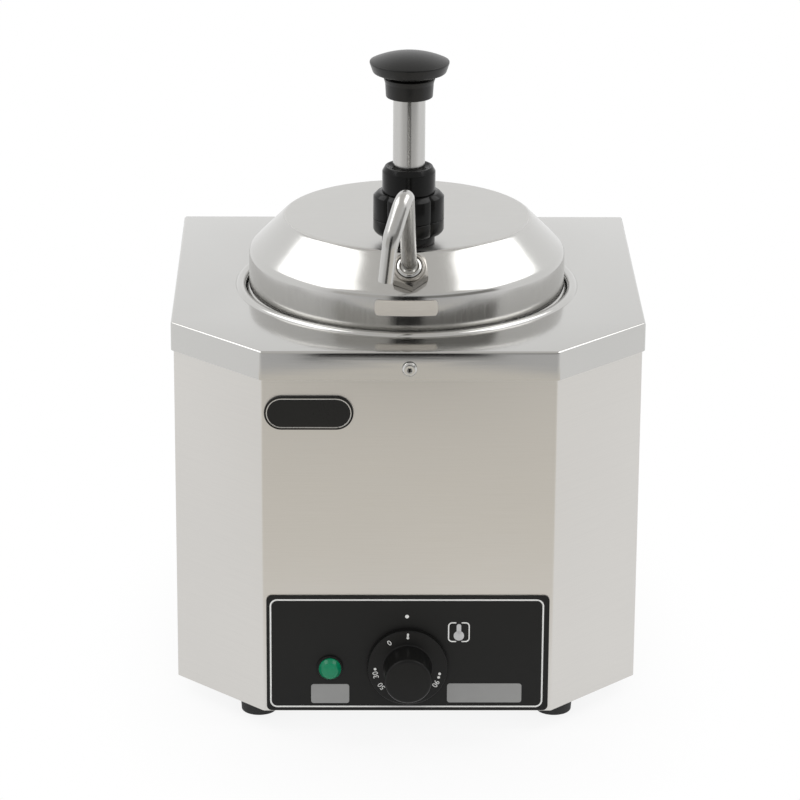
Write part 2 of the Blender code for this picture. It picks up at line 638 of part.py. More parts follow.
def extrude_rim(work, edges, place):
    """Extrude edges and move each new vertex with the place function; returns the new edges."""
    made = bmesh.ops.extrude_edge_only(work, edges=edges)["geom"]
    for vert in (item for item in made if isinstance(item, bmesh.types.BMVert)):
        vert.co = place(vert.co)
    fresh = {item for item in made if isinstance(item, bmesh.types.BMEdge)}
    verts = {item for item in made if isinstance(item, bmesh.types.BMVert)}
    return [edge for edge in fresh if all(vert in verts for vert in edge.verts)]


def bevel_folds(work, folds, radius):
    """Round the folds of an open sheet."""
    bmesh.ops.bevel(work, geom=folds, offset=radius, segments=FOLD_STEPS, profile=0.5, affect="EDGES")


def bend_reaches(corners, radius):
    """How far each bend reaches along its stretches; two bends on a short stretch share its length."""
    reaches = [0.0]
    for before, corner, after in zip(corners, corners[1:], corners[2:]):
        reaches.append(radius / math.tan((before - corner).angle(after - corner) / 2))
    reaches.append(0.0)
    shares = [1.0] * len(corners)
    for i in range(len(corners) - 1):
        needed = reaches[i] + reaches[i + 1]
        room = (corners[i + 1] - corners[i]).length
        if needed > room:
            shares[i] = min(shares[i], room / needed)
            shares[i + 1] = min(shares[i + 1], room / needed)
    return [reach * share for reach, share in zip(reaches, shares)]


def rounded_path(corners, radius):
    """Points along a run of straight stretches with round bends."""
    points = [corners[0]]
    reaches = bend_reaches(corners, radius)
    for k, (before, corner, after) in enumerate(zip(corners, corners[1:], corners[2:])):
        back = (before - corner).normalized()
        on = (after - corner).normalized()
        half = back.angle(on) / 2
        reach = reaches[k + 1]
        centre = corner + (back + on).normalized() * reach / math.cos(half)
        start = corner + back * reach - centre
        end = corner + on * reach - centre
        turn = math.pi - 2 * half
        for i in range(BEND_STEPS + 1):
            share = i / BEND_STEPS
            weight = math.sin((1 - share) * turn) / math.sin(turn), math.sin(share * turn) / math.sin(turn)
            points.append(centre + start * weight[0] + end * weight[1])
    points.append(corners[-1])
    return points


def rod_curve(name, points, radius, radii=None, resolution=2):
    """A round rod as a poly curve with filled caps."""
    curve = bpy.data.curves.new(name, "CURVE")
    curve.dimensions = "3D"
    curve.bevel_depth = radius
    curve.bevel_resolution = resolution
    curve.use_fill_caps = True
    spline = curve.splines.new("POLY")
    spline.points.add(len(points) - 1)
    for i, point in enumerate(points):
        spline.points[i].co = (*point, 1.0)
        spline.points[i].radius = radii[i] if radii else 1.0
    return curve


def rod_mesh(name, points, radius, resolution=2):
    """The same rod as a closed mesh, for pieces that are cut or joined."""
    guide = bpy.data.objects.new(name + "_guide", rod_curve(name, points, radius, None, resolution))
    CUTTERS.objects.link(guide)
    bpy.context.view_layer.update()
    evaluated = guide.evaluated_get(bpy.context.evaluated_depsgraph_get())
    data = bpy.data.meshes.new_from_object(evaluated)
    work = bmesh.new()
    work.from_mesh(data)
    bmesh.ops.remove_doubles(work, verts=work.verts, dist=MERGE)
    work.to_mesh(data)
    work.free()
    bpy.data.objects.remove(guide, do_unlink=True)
    data.shade_smooth()
    data.set_sharp_from_angle(angle=math.radians(45))
    return data


def screw(name, parent, place, direction, head_radius, head, shank_radius, length, material, socket=0.0):
    """A screw whose head stands on a place; its shank runs back from there."""
    outline = [(0, head), (head_radius * SCREW_CROWN_SHARE, head), (head_radius, head * SCREW_EDGE_SHARE),
               (head_radius, 0), (shank_radius, 0), (shank_radius, -length), (0, -length)]
    if socket > 0:
        outline = [(0, head - SOCKET_DEPTH), (socket, head - SOCKET_DEPTH), (socket, head)] + outline[1:]
    return turned(name, outline, material, parent, place, aim(direction), SCREW_STEPS)


def make_cover(root):
    """Top plate, skirt and drawn recess in one sheet, with holes for its two screws."""
    work = bmesh.new()
    corners = [work.verts.new((x, y, COVER_TOP_Z)) for x, y in plan_outline(0)]
    outer = [work.edges.new((corners[i - 1], corners[i])) for i in range(len(corners))]
    ring = []
    for i in range(FINE_STEPS):
        angle = 2 * math.pi * i / FINE_STEPS
        ring.append(work.verts.new((RECESS_RADIUS * math.cos(angle),
                                    POT_CENTRE_Y + RECESS_RADIUS * math.sin(angle), COVER_TOP_Z)))
    inner = [work.edges.new((ring[i - 1], ring[i])) for i in range(FINE_STEPS)]
    bmesh.ops.triangle_fill(work, use_beauty=True, use_dissolve=False, edges=outer + inner)
    skirt = extrude_rim(work, outer, lambda co: co - Vector((0, 0, COVER_SKIRT)))
    folds = list(outer)
    folds += [edge for corner in corners for edge in corner.link_edges
              if abs(edge.verts[0].co.z - edge.verts[1].co.z) > MERGE]
    profile = arc((RECESS_RADIUS, COVER_TOP_Z - RECESS_ROLL), RECESS_ROLL, 90, 180, ROLL_STEPS)[1:]
    profile += [(LEDGE_OUTER, LEDGE_Z), (LEDGE_INNER, LEDGE_Z)]
    rim = inner
    for radius, height in profile:
        def sink(co, radius=radius, height=height):
            flat = Vector((co.x, co.y - POT_CENTRE_Y)).normalized() * radius
            return Vector((flat.x, flat.y + POT_CENTRE_Y, height))
        rim = extrude_rim(work, rim, sink)
    face_outward(work, Vector((0, 0, 1)))
    bevel_folds(work, folds, COVER_FOLD)
    cover = add("top_cover", finish_mesh("top_cover", work), "brushed_steel", root)
    solidify(cover, COVER_SHEET)
    height = COVER_TOP_Z - COVER_SCREW_DROP
    for side in (-1, 1):
        drill(cover, COVER_SCREW_RADIUS + GAP, COVER_SHEET + 2 * OVERRUN,
              (0, side * (COVER_DEPTH - COVER_SHEET) / 2, height), (0, 1, 0))
    return cover


def make_wrapper(root):
    """Sides, cut corners and front in one folded sheet with returns at the rear."""
    corners = plan_outline(BODY_INSET)
    half = corners[-1][0]
    path = [(-half + BODY_RETURN, RETURN_Y), (-half, RETURN_Y)] + corners[1:-1]
    path += [(half, RETURN_Y), (half - BODY_RETURN, RETURN_Y)]
    work = bmesh.new()
    verts = [work.verts.new((x, y, BODY_BOTTOM_Z)) for x, y in path]
    edges = [work.edges.new((verts[i], verts[i + 1])) for i in range(len(verts) - 1)]
    extrude_rim(work, edges, lambda co: Vector((co.x, co.y, BODY_TOP_Z)))
    folds = [edge for edge in work.edges
             if len(edge.link_faces) == 2 and abs(edge.verts[0].co.z - edge.verts[1].co.z) > MERGE]
    face_outward(work, Vector((0, -1, 0)))
    bevel_folds(work, folds, BODY_FOLD)
    wrapper = add("body_wrapper", finish_mesh("body_wrapper", work), "brushed_steel", root)
    solidify(wrapper, BODY_SHEET)
    middle = BODY_FRONT_Y + BODY_SHEET / 2
    through = BODY_SHEET + 2 * OVERRUN
    drill(wrapper, SHAFT_RADIUS + GAP, through, (0, middle, DIAL_Z), (0, 1, 0))
    drill(wrapper, LAMP_BARREL_RADIUS + GAP, through, (LAMP_X, middle, LAMP_Z), (0, 1, 0))
    drill(wrapper, COVER_SCREW_RADIUS + GAP, through, (0, middle, COVER_TOP_Z - COVER_SCREW_DROP), (0, 1, 0))
    for side in (-1, 1):
        drill(wrapper, THERMOSTAT_SCREW_RADIUS + GAP, through,
              (side * THERMOSTAT_SCREW_SPACING / 2, middle, DIAL_Z), (0, 1, 0))
        drill(wrapper, SMALL_SCREW_RADIUS + GAP, through,
              (side * (half - REAR_SCREW_EDGE), RETURN_Y - BODY_SHEET / 2, REAR_SCREW_Z), (0, 1, 0))
    return wrapper


def make_rear_panel(root):
    """Flat rear sheet with vent slots, the inlet's window and its screw holes."""
    half = COVER_WIDTH / 2 - BODY_INSET
    height = BODY_TOP_Z - BODY_BOTTOM_Z
    middle = REAR_OUTER_Y - REAR_SHEET / 2
    panel = add("rear_panel", box_mesh("rear_panel", (2 * half, REAR_SHEET, height)), "brushed_steel", root,
                (0, middle, BODY_BOTTOM_Z + height / 2))
    through = REAR_SHEET + 2 * OVERRUN
    window = (INLET_BODY_WIDTH + 2 * GAP, through, INLET_BODY_HEIGHT + 2 * GAP)
    cut(panel, box_mesh("inlet_window", window), (INLET_X, middle, INLET_Z))
    for i in range(VENT_COUNT):
        z = REAR_VENT_Z + (i - (VENT_COUNT - 1) / 2) * VENT_PITCH
        cut(panel, box_mesh("rear_vent", (VENT_LENGTH, through, VENT_WIDTH)), (0, middle, z))
    for side in (-1, 1):
        drill(panel, SMALL_SCREW_RADIUS + GAP, through,
              (side * (half - REAR_SCREW_EDGE), middle, REAR_SCREW_Z), (0, 1, 0))
        drill(panel, SMALL_SCREW_RADIUS + GAP, through,
              (INLET_X + side * INLET_SCREW_SPACING / 2, middle, INLET_Z), (0, 1, 0))
    drill(panel, COVER_SCREW_RADIUS + GAP, through, (0, middle, COVER_TOP_Z - COVER_SCREW_DROP), (0, 1, 0))
    return panel


def make_base(root):
    """Shallow tray inside the wrapper, with vents and the feet's screw holes."""
    inset = BODY_INSET + BODY_SHEET + GAP
    outline = plan_outline(inset)
    rear = RETURN_Y - BODY_SHEET - GAP
    outline = [(outline[0][0], rear)] + outline[1:-1] + [(outline[-1][0], rear)]
    work = bmesh.new()
    floor = work.faces.new([work.verts.new((x, y, BODY_BOTTOM_Z)) for x, y in outline])
    edges = list(floor.edges)
    extrude_rim(work, edges, lambda co: co + Vector((0, 0, BASE_FLANGE)))
    face_outward(work, Vector((0, 0, -1)))
    base = add("base_plate", finish_mesh("base_plate", work), "galvanised_steel", root)
    solidify(base, BODY_SHEET)
    through = BODY_SHEET + 2 * OVERRUN
    middle = BODY_BOTTOM_Z + BODY_SHEET / 2
    for x in (-1, 1):
        for y in (-1, 1):
            drill(base, FOOT_SCREW_RADIUS + GAP, through, (x * FOOT_X, y * FOOT_Y, middle))
    for i in range(VENT_COUNT):
        y = (i - (VENT_COUNT - 1) / 2) * VENT_PITCH
        cut(base, box_mesh("base_vent", (VENT_LENGTH, VENT_WIDTH, through)), (0, y, middle))
    return base


def make_feet(root):
    """Four rubber feet, each with a screw up through the base plate."""
    names = {(-1, -1): "front_left", (1, -1): "front_right", (-1, 1): "rear_left", (1, 1): "rear_right"}
    top = FOOT_HEIGHT - GAP
    outline = [(FOOT_RADIUS, top), (FOOT_RADIUS - FOOT_TAPER, 0), (FOOT_RECESS_RADIUS, 0),
               (FOOT_RECESS_RADIUS, FOOT_RECESS_DEPTH), (FOOT_SCREW_RADIUS + GAP, FOOT_RECESS_DEPTH),
               (FOOT_SCREW_RADIUS + GAP, top)]
    seat = FOOT_RECESS_DEPTH - GAP
    for (x, y), name in names.items():
        place = (x * FOOT_X, y * FOOT_Y, 0)
        turned("foot_" + name, outline, "black_rubber", root, place, steps=SMALL_STEPS)
        length = BASE_TOP_Z + FOOT_SCREW_RISE - seat
        shank = [(0, seat + length), (FOOT_SCREW_RADIUS, seat + length), (FOOT_SCREW_RADIUS, seat),
                 (FOOT_SCREW_HEAD_RADIUS, seat), (FOOT_SCREW_HEAD_RADIUS, seat - FOOT_SCREW_HEAD),
                 (0, seat - FOOT_SCREW_HEAD)]
        turned("foot_screw_" + name, shank, "galvanised_steel", root, place, steps=SCREW_STEPS)


def make_cover_screws(root):
    """One screw through the skirt at the front and one at the rear."""
    for side, name in ((-1, "front"), (1, "rear")):
        place = (0, side * (COVER_DEPTH / 2 + GAP), COVER_TOP_Z - COVER_SCREW_DROP)
        screw("cover_screw_" + name, root, place, (0, side, 0), COVER_SCREW_HEAD_RADIUS, COVER_SCREW_HEAD,
              COVER_SCREW_RADIUS, COVER_SCREW_LENGTH, "polished_steel", SOCKET_RADIUS)


def make_front(root):
    """Black control panel and the bare badge on the front sheet."""
    middle = PANEL_FRONT_Y + PANEL_THICKNESS / 2
    size = (PANEL_WIDTH, PANEL_THICKNESS, PANEL_HEIGHT)
    panel = add("control_panel", box_mesh("control_panel", size, PANEL_CORNER, 1), "panel_black", root,
                (0, middle, PANEL_BOTTOM_Z + PANEL_HEIGHT / 2))
    through = PANEL_THICKNESS + 2 * OVERRUN
    drill(panel, SHAFT_RADIUS + GAP, through, (0, middle, DIAL_Z), (0, 1, 0))
    drill(panel, LAMP_BARREL_RADIUS + GAP, through, (LAMP_X, middle, LAMP_Z), (0, 1, 0))
    for side in (-1, 1):
        drill(panel, THERMOSTAT_SCREW_RADIUS + GAP, through,
              (side * THERMOSTAT_SCREW_SPACING / 2, middle, DIAL_Z), (0, 1, 0))
    badge = box_mesh("front_badge", (BADGE_WIDTH, BADGE_THICKNESS, BADGE_HEIGHT), BADGE_HEIGHT / 2 - MERGE, 1)
    add("front_badge", badge, "panel_black", root,
        (BADGE_X, BODY_FRONT_Y - GAP - BADGE_THICKNESS / 2, BADGE_Z))


def make_pilot_lamp(root):
    """Lamp body with its bezel and two tags, and the green lens plugged into it."""
    face = PANEL_FRONT_Y - GAP
    place = (LAMP_X, face, LAMP_Z)
    bezel = LAMP_BEZEL_THICKNESS
    outline = [(LAMP_BEZEL_RADIUS, bezel), (LAMP_BEZEL_RADIUS, 0), (LAMP_BARREL_RADIUS, 0),
               (LAMP_BARREL_RADIUS, -LAMP_BARREL_LENGTH), (0, -LAMP_BARREL_LENGTH)]
    outline = [(0, bezel - LAMP_BORE_DEPTH), (LAMP_BORE_RADIUS, bezel - LAMP_BORE_DEPTH),
               (LAMP_BORE_RADIUS, bezel)] + outline
    body = turned("pilot_lamp_body", outline, "black_plastic", root, place, FORWARD, ROUND_STEPS // 2)
    tag = (LAMP_TAG_WIDTH, LAMP_TAG_LENGTH, LAMP_TAG_THICKNESS)
    for side in (-1, 1):
        spot = (LAMP_X, face + LAMP_BARREL_LENGTH + LAMP_TAG_LENGTH / 2 - LAMP_TAG_THICKNESS,
                LAMP_Z + side * LAMP_TAG_SPACING / 2)
        join(body, box_mesh("lamp_tag", tag), spot)
    stem = LAMP_BORE_RADIUS - GAP
    base = bezel + GAP
    lens = [(0, base + LENS_HEIGHT), (LENS_FACE_RADIUS, base + LENS_HEIGHT),
            (LENS_BASE_RADIUS, base + LENS_FOOT), (LENS_BASE_RADIUS, base), (stem, base),
            (stem, bezel - LAMP_BORE_DEPTH + GAP), (0, bezel - LAMP_BORE_DEPTH + GAP)]
    turned("pilot_lamp_lens", lens, "green_lens", root, place, FORWARD, ROUND_STEPS // 2)


def make_thermostat(root, dial):
    """Thermostat body, its two screws, and the shaft and knob that turn."""
    middle = THERMOSTAT_FRONT_Y + THERMOSTAT_DEPTH / 2
    size = (THERMOSTAT_WIDTH, THERMOSTAT_DEPTH, THERMOSTAT_HEIGHT)
    body = add("thermostat_body", box_mesh("thermostat_body", size), "white_ceramic", root,
               (0, middle, DIAL_Z))
    drill(body, SHAFT_RADIUS + GAP, 2 * SHAFT_BORE_DEPTH, (0, THERMOSTAT_FRONT_Y, DIAL_Z), (0, 1, 0))
    for side in (-1, 1):
        x = side * THERMOSTAT_SCREW_SPACING / 2
        depth = THERMOSTAT_SCREW_LENGTH
        drill(body, THERMOSTAT_SCREW_RADIUS + GAP, 2 * depth, (x, THERMOSTAT_FRONT_Y, DIAL_Z), (0, 1, 0))
        name = "thermostat_screw_" + ("left" if side < 0 else "right")
        screw(name, root, (x, PANEL_FRONT_Y - GAP, DIAL_Z), (0, -1, 0), THERMOSTAT_SCREW_HEAD_RADIUS,
              THERMOSTAT_SCREW_HEAD, THERMOSTAT_SCREW_RADIUS, depth, "galvanised_steel")
    tail = DIAL_BACK_Y - THERMOSTAT_FRONT_Y - SHAFT_BORE_DEPTH + GAP
    nose = DIAL_BORE_DEPTH - GAP
    outline = [(0, nose), (SHAFT_RADIUS, nose), (SHAFT_RADIUS, tail), (0, tail)]
    turned("thermostat_shaft", outline, "galvanised_steel", dial, (0, 0, 0), FORWARD, SMALL_STEPS)
    make_dial_knob(dial)


def make_dial_knob(dial):
    """Round skirt and grip with a raised pointer, hollow behind for the screw heads."""
    grip_base = DIAL_SKIRT_THICKNESS
    grip_top = grip_base + DIAL_GRIP_HEIGHT
    top_radius = DIAL_GRIP_RADIUS - DIAL_GRIP_TAPER
    bore = SHAFT_RADIUS + GAP
    outline = [(0, grip_top), (top_radius - DIAL_GRIP_EDGE, grip_top),
               (top_radius, grip_top - DIAL_GRIP_EDGE), (DIAL_GRIP_RADIUS, grip_base),
               (DIAL_SKIRT_RADIUS - DIAL_SKIRT_EDGE, grip_base),
               (DIAL_SKIRT_RADIUS, grip_base - DIAL_SKIRT_EDGE), (DIAL_SKIRT_RADIUS, 0),
               (DIAL_HOLLOW_RADIUS, 0), (DIAL_HOLLOW_RADIUS, DIAL_HOLLOW_DEPTH),
               (DIAL_HUB_RADIUS, DIAL_HOLLOW_DEPTH), (DIAL_HUB_RADIUS, 0), (bore, 0),
               (bore, DIAL_BORE_DEPTH), (0, DIAL_BORE_DEPTH)]
    knob = turned("dial_knob", outline, "black_plastic", dial, (0, 0, 0), FORWARD, KNOB_STEPS)
    size = (DIAL_POINTER_WIDTH, 2 * DIAL_POINTER_RISE, top_radius - DIAL_GRIP_EDGE)
    join(knob, box_mesh("pointer", size), (0, -grip_top, size[2] / 2))


def make_well(root):
    """Drawn water well under the recess, with the heater's stud welded on."""
    wall, inner, fillet = WELL_WALL, WELL_RADIUS, WELL_FLOOR_FILLET
    flange = LEDGE_OUTER - GAP
    floor = WELL_FLOOR_Z
    outer_turn = arc((inner - fillet, floor + fillet), fillet + wall, 0, -90, ROLL_STEPS)
    inner_turn = arc((inner - fillet, floor + fillet), fillet, -90, 0, ROLL_STEPS)
    stud_end = NUT_TOP_Z - CLAMP_NUT_HEIGHT - STUD_TAIL
    outline = [(flange, WELL_TOP_Z), (flange, WELL_TOP_Z - wall), (inner + wall, WELL_TOP_Z - wall)]
    outline += outer_turn + [(STUD_RADIUS, floor - wall), (STUD_RADIUS, stud_end), (0, stud_end)]
    outline = [(0, floor)] + inner_turn + [(inner, WELL_TOP_Z)] + outline
    return turned("water_well", outline, "brushed_steel", root, (0, POT_CENTRE_Y, 0), steps=FINE_STEPS)


def make_heater(root):
    """Heating disc, clamp bar and nut on the stud, and the safety cut out."""
    middle = (HEATER_TOP_Z + HEATER_BOTTOM_Z) / 2
    bore = STUD_RADIUS + GAP
    centre = (0, POT_CENTRE_Y, 0)
    heater = turned("heater_plate", ring_outline(HEATER_RADIUS, bore, HEATER_BOTTOM_Z, HEATER_TOP_Z),
                    "aluminium", root, centre)
    for side in (-1, 1):
        post = HEATER_POST_LENGTH + HEATER_THICKNESS / 2
        place = (side * HEATER_POST_X, POT_CENTRE_Y + HEATER_POST_Y, middle - post / 2)
        join(heater, cylinder_mesh("heater_post", HEATER_POST_RADIUS, post, 12), place)
    bar_size = (CLAMP_LENGTH, CLAMP_WIDTH, CLAMP_THICKNESS)
    bar_place = (0, POT_CENTRE_Y, CLAMP_TOP_Z - CLAMP_THICKNESS / 2)
    bar = add("heater_clamp_bar", box_mesh("heater_clamp_bar", bar_size), "galvanised_steel", root, bar_place)
    drill(bar, bore, CLAMP_THICKNESS + 2 * OVERRUN, bar_place)
    corner = CLAMP_NUT_FLATS / math.sqrt(3)
    nut_place = (0, POT_CENTRE_Y, NUT_TOP_Z - CLAMP_NUT_HEIGHT / 2)
    nut = add("heater_clamp_nut", cylinder_mesh("heater_clamp_nut", corner, CLAMP_NUT_HEIGHT, 6),
              "galvanised_steel", root, nut_place)
    drill(nut, bore, CLAMP_NUT_HEIGHT + 2 * OVERRUN, nut_place)
    top = CLAMP_TOP_Z
    low = top - CUTOUT_FLANGE
    outline = [(0, top), (CUTOUT_FLANGE_RADIUS, top), (CUTOUT_FLANGE_RADIUS, low), (CUTOUT_RADIUS, low),
               (CUTOUT_RADIUS, low - CUTOUT_HEIGHT), (0, low - CUTOUT_HEIGHT)]
    cutout = turned("thermal_cutout", outline, "white_ceramic", root, (0, POT_CENTRE_Y + CUTOUT_Y, 0),
                    steps=SMALL_STEPS)
    tag = (LAMP_TAG_THICKNESS, LAMP_TAG_WIDTH, LAMP_TAG_LENGTH)
    for side in (-1, 1):
        place = (side * CUTOUT_TAG_SPACING / 2, POT_CENTRE_Y + CUTOUT_Y,
                 low - CUTOUT_HEIGHT - LAMP_TAG_LENGTH / 2 + LAMP_TAG_THICKNESS)
        join(cutout, box_mesh("cutout_tag", tag), place)


def make_jacket(root):
    """Insulation wrapped round the well, with a channel for the bulb."""
    inner = WELL_OUTER + GAP
    top = WELL_TOP_Z - WELL_WALL - JACKET_TOP_CLEARANCE
    jacket = turned("insulation_jacket", ring_outline(inner + JACKET_THICKNESS, inner, JACKET_BOTTOM_Z, top),
                    "insulation", root, (0, POT_CENTRE_Y, 0), steps=FINE_STEPS)
    height = BULB_BOTTOM_Z + BULB_LENGTH + 2 * BULB_RADIUS - JACKET_BOTTOM_Z + OVERRUN
    width = 2 * (BULB_RADIUS + 2 * GAP)
    depth = width + OVERRUN
    cut(jacket, box_mesh("bulb_channel", (depth, width, height)),
        (-BULB_RING + (depth - width) / 2, POT_CENTRE_Y, JACKET_BOTTOM_Z - OVERRUN + height / 2))


def make_bulb(root):
    """Sensing bulb along the well's wall, with its thin capillary down to the thermostat."""
    line = Vector((-BULB_RING, POT_CENTRE_Y, 0))
    up = Vector((0, 0, 1))
    rear = Vector((-THERMOSTAT_WIDTH / 4, THERMOSTAT_REAR_Y + GAP, DIAL_Z + THERMOSTAT_HEIGHT / 4))
    behind = rear.y + 2 * WIRE_BEND
    low = [rear, Vector((rear.x, behind, rear.z)), Vector((line.x, behind, rear.z)),
           Vector((line.x, line.y, rear.z)), line + up * (BULB_BOTTOM_Z - 2 * BULB_RADIUS)]
    points = rounded_path(low, WIRE_BEND)
    thin = CAPILLARY_RADIUS / BULB_RADIUS
    radii = [thin] * len(points)
    for height, share in ((0, 0.9), (BULB_RADIUS, 1.0), (BULB_LENGTH - BULB_RADIUS, 1.0), (BULB_LENGTH, 0.6)):
        points.append(line + up * (BULB_BOTTOM_Z + height))
        radii.append(share)
    add("thermostat_bulb", rod_curve("thermostat_bulb", points, BULB_RADIUS, radii, 1), "copper", root)


def make_inlet(root):
    """Mains inlet socket in the rear panel, with two screws."""
    outside = REAR_OUTER_Y + GAP
    flange = (INLET_FLANGE_WIDTH, INLET_FLANGE, INLET_FLANGE_HEIGHT)
    inlet = add("mains_inlet", box_mesh("mains_inlet", flange, INLET_WALL, 1), "black_plastic", root,
                (INLET_X, outside + INLET_FLANGE / 2, INLET_Z))
    shell = (INLET_BODY_WIDTH, INLET_BODY_DEPTH + INLET_FLANGE / 2, INLET_BODY_HEIGHT)
    join(inlet, box_mesh("inlet_shell", shell), (INLET_X, outside + INLET_FLANGE / 2 - shell[1] / 2, INLET_Z))
    hollow = (INLET_BODY_WIDTH - 2 * INLET_WALL, INLET_SOCKET_DEPTH + OVERRUN,
              INLET_BODY_HEIGHT - 2 * INLET_WALL)
    mouth = outside + INLET_FLANGE + OVERRUN
    cut(inlet, box_mesh("inlet_hollow", hollow), (INLET_X, mouth - hollow[1] / 2, INLET_Z))
    floor = outside + INLET_FLANGE - INLET_SOCKET_DEPTH
    for i in (-1, 0, 1):
        length = INLET_PIN_LENGTH + INLET_WALL
        pin = (INLET_PIN_WIDTH, length, INLET_PIN_HEIGHT)
        z = INLET_Z + (INLET_PIN_RISE / 2 if i == 0 else -INLET_PIN_RISE / 2)
        join(inlet, box_mesh("inlet_pin", pin),
             (INLET_X + i * INLET_PIN_SPACING, floor - INLET_WALL + length / 2, z))
    for side in (-1, 1):
        x = INLET_X + side * INLET_SCREW_SPACING / 2
        drill(inlet, SMALL_SCREW_RADIUS + GAP, INLET_FLANGE + 2 * OVERRUN,
              (x, outside + INLET_FLANGE / 2, INLET_Z), (0, 1, 0))
        name = "inlet_screw_" + ("left" if side < 0 else "right")
        screw(name, root, (x, outside + INLET_FLANGE + GAP, INLET_Z), (0, 1, 0), SMALL_SCREW_HEAD_RADIUS,
              SMALL_SCREW_HEAD, SMALL_SCREW_RADIUS, SMALL_SCREW_LENGTH, "galvanised_steel")
    half = COVER_WIDTH / 2 - BODY_INSET
    for side in (-1, 1):
        name = "rear_panel_screw_" + ("left" if side < 0 else "right")
        screw(name, root, (side * (half - REAR_SCREW_EDGE), outside, REAR_SCREW_Z), (0, 1, 0),
              SMALL_SCREW_HEAD_RADIUS, SMALL_SCREW_HEAD, SMALL_SCREW_RADIUS, SMALL_SCREW_LENGTH,
              "galvanised_steel")


def make_wiring(root):
    """Terminal block on the base plate and the four runs of wire inside."""
    middle = (INLET_X, BLOCK_Y, BASE_TOP_Z + GAP + BLOCK_HEIGHT / 2)
    size = (BLOCK_WIDTH, BLOCK_DEPTH, BLOCK_HEIGHT)
    block = add("terminal_block", box_mesh("terminal_block", size), "white_ceramic", root, middle)
    top = middle[2] + BLOCK_HEIGHT / 2
    for i in range(BLOCK_WELL_COUNT):
        x = INLET_X + (i - (BLOCK_WELL_COUNT - 1) / 2) * BLOCK_WELL_PITCH
        drill(block, BLOCK_WELL_RADIUS, 2 * BLOCK_WELL_DEPTH, (x, BLOCK_Y, top), steps=12)
    rear = BLOCK_Y + BLOCK_DEPTH / 2 + GAP
    front = BLOCK_Y - BLOCK_DEPTH / 2 - GAP
    inlet_end = REAR_OUTER_Y - INLET_BODY_DEPTH
    low = middle[2]
    post = Vector((HEATER_POST_X, POT_CENTRE_Y + HEATER_POST_Y, HEATER_BOTTOM_Z - HEATER_POST_LENGTH - GAP))
    tags = LAMP_TAG_LENGTH - LAMP_TAG_THICKNESS
    lamp = Vector((LAMP_X, PANEL_FRONT_Y + LAMP_BARREL_LENGTH + tags, LAMP_Z))
    shift = BLOCK_WELL_PITCH
    rear_face = THERMOSTAT_REAR_Y + GAP
    side_face = -THERMOSTAT_WIDTH / 2 - GAP
    side_y = THERMOSTAT_REAR_Y - THERMOSTAT_DEPTH / 4
    turn = 2 * WIRE_BEND
    step = WIRE_BEND + WIRE_RADIUS
    runs = {
        "inlet_wire": [(INLET_X, inlet_end - GAP, INLET_Z), (INLET_X, inlet_end - turn, INLET_Z),
                       (INLET_X, rear + turn, low), (INLET_X, rear, low)],
        "thermostat_wire": [(INLET_X, front, low), (INLET_X, rear_face + turn, low),
                            (SHAFT_RADIUS, rear_face + turn, DIAL_Z), (SHAFT_RADIUS, rear_face, DIAL_Z)],
        "heater_wire": [(INLET_X - shift, front, low), (INLET_X - shift, post.y, low), (post.x, post.y, low),
                        tuple(post)],
        "lamp_wire": [(side_face, side_y, DIAL_Z), (side_face - step, side_y, DIAL_Z),
                      (side_face - step, lamp.y + turn, DIAL_Z), (lamp.x, lamp.y + turn, LAMP_Z),
                      tuple(lamp)],
    }
    for name, corners in runs.items():
        points = rounded_path([Vector(corner) for corner in corners], WIRE_BEND)
        add(name, rod_curve(name, points, WIRE_RADIUS, resolution=1), "black_rubber", root)


def make_pot(pot):
    """Drawn pot with a flange that rests on the ledge and a rolled bead round its rim."""
    inner, wall, fillet = POT_RADIUS, POT_WALL, POT_FLOOR_FILLET
    floor = POT_FLOOR_Z
    bead = arc((POT_BEAD_RING, POT_BEAD_Z), POT_BEAD_RADIUS, POT_BEAD_START, -90, 2 * ROLL_STEPS)
    neck = POT_BEAD_RING - POT_BEAD_RADIUS
    outline = [(inner, FLANGE_Z + wall), (neck, FLANGE_Z + wall)] + bead
    outline += [(inner + wall, FLANGE_Z)]
    outline += arc((inner - fillet, floor + fillet), fillet + wall, 0, -90, ROLL_STEPS)
    outline += [(0, floor - wall)]
    outline = [(0, floor)] + arc((inner - fillet, floor + fillet), fillet, -90, 0, ROLL_STEPS) + outline
    return turned("inner_pot", outline, "brushed_steel", pot, (0, POT_CENTRE_Y, 0), steps=FINE_STEPS)


def lid_outline():
    """Closed outline of the lid: flat top, 45 degree slope, upright wall and hem."""
    sheet = LID_SHEET
    tangent = math.tan(math.radians(22.5))
    shoulder = (LID_SHOULDER_RADIUS - LID_SHOULDER * tangent, LID_TOP_Z - LID_SHOULDER)
    rim = (LID_RADIUS - LID_RIM, LID_RIM_Z - LID_RIM * tangent)
    points = [(0, LID_TOP_Z)]
    points += arc(shoulder, LID_SHOULDER, 90, 45, ROLL_STEPS - 1)
    points += arc(rim, LID_RIM, 45, 0, ROLL_STEPS - 1)
    points += [(LID_RADIUS, LID_BOTTOM_Z), (LID_RADIUS - LID_HEM, LID_BOTTOM_Z),
               (LID_RADIUS - LID_HEM, LID_BOTTOM_Z + LID_HEM_HEIGHT),
               (LID_RADIUS - sheet, LID_BOTTOM_Z + LID_HEM_HEIGHT)]
    points += arc(rim, LID_RIM - sheet, 0, 45, ROLL_STEPS - 1)
    points += arc(shoulder, LID_SHOULDER - sheet, 45, 90, ROLL_STEPS - 1)
    return points + [(0, LID_UNDER_Z)]


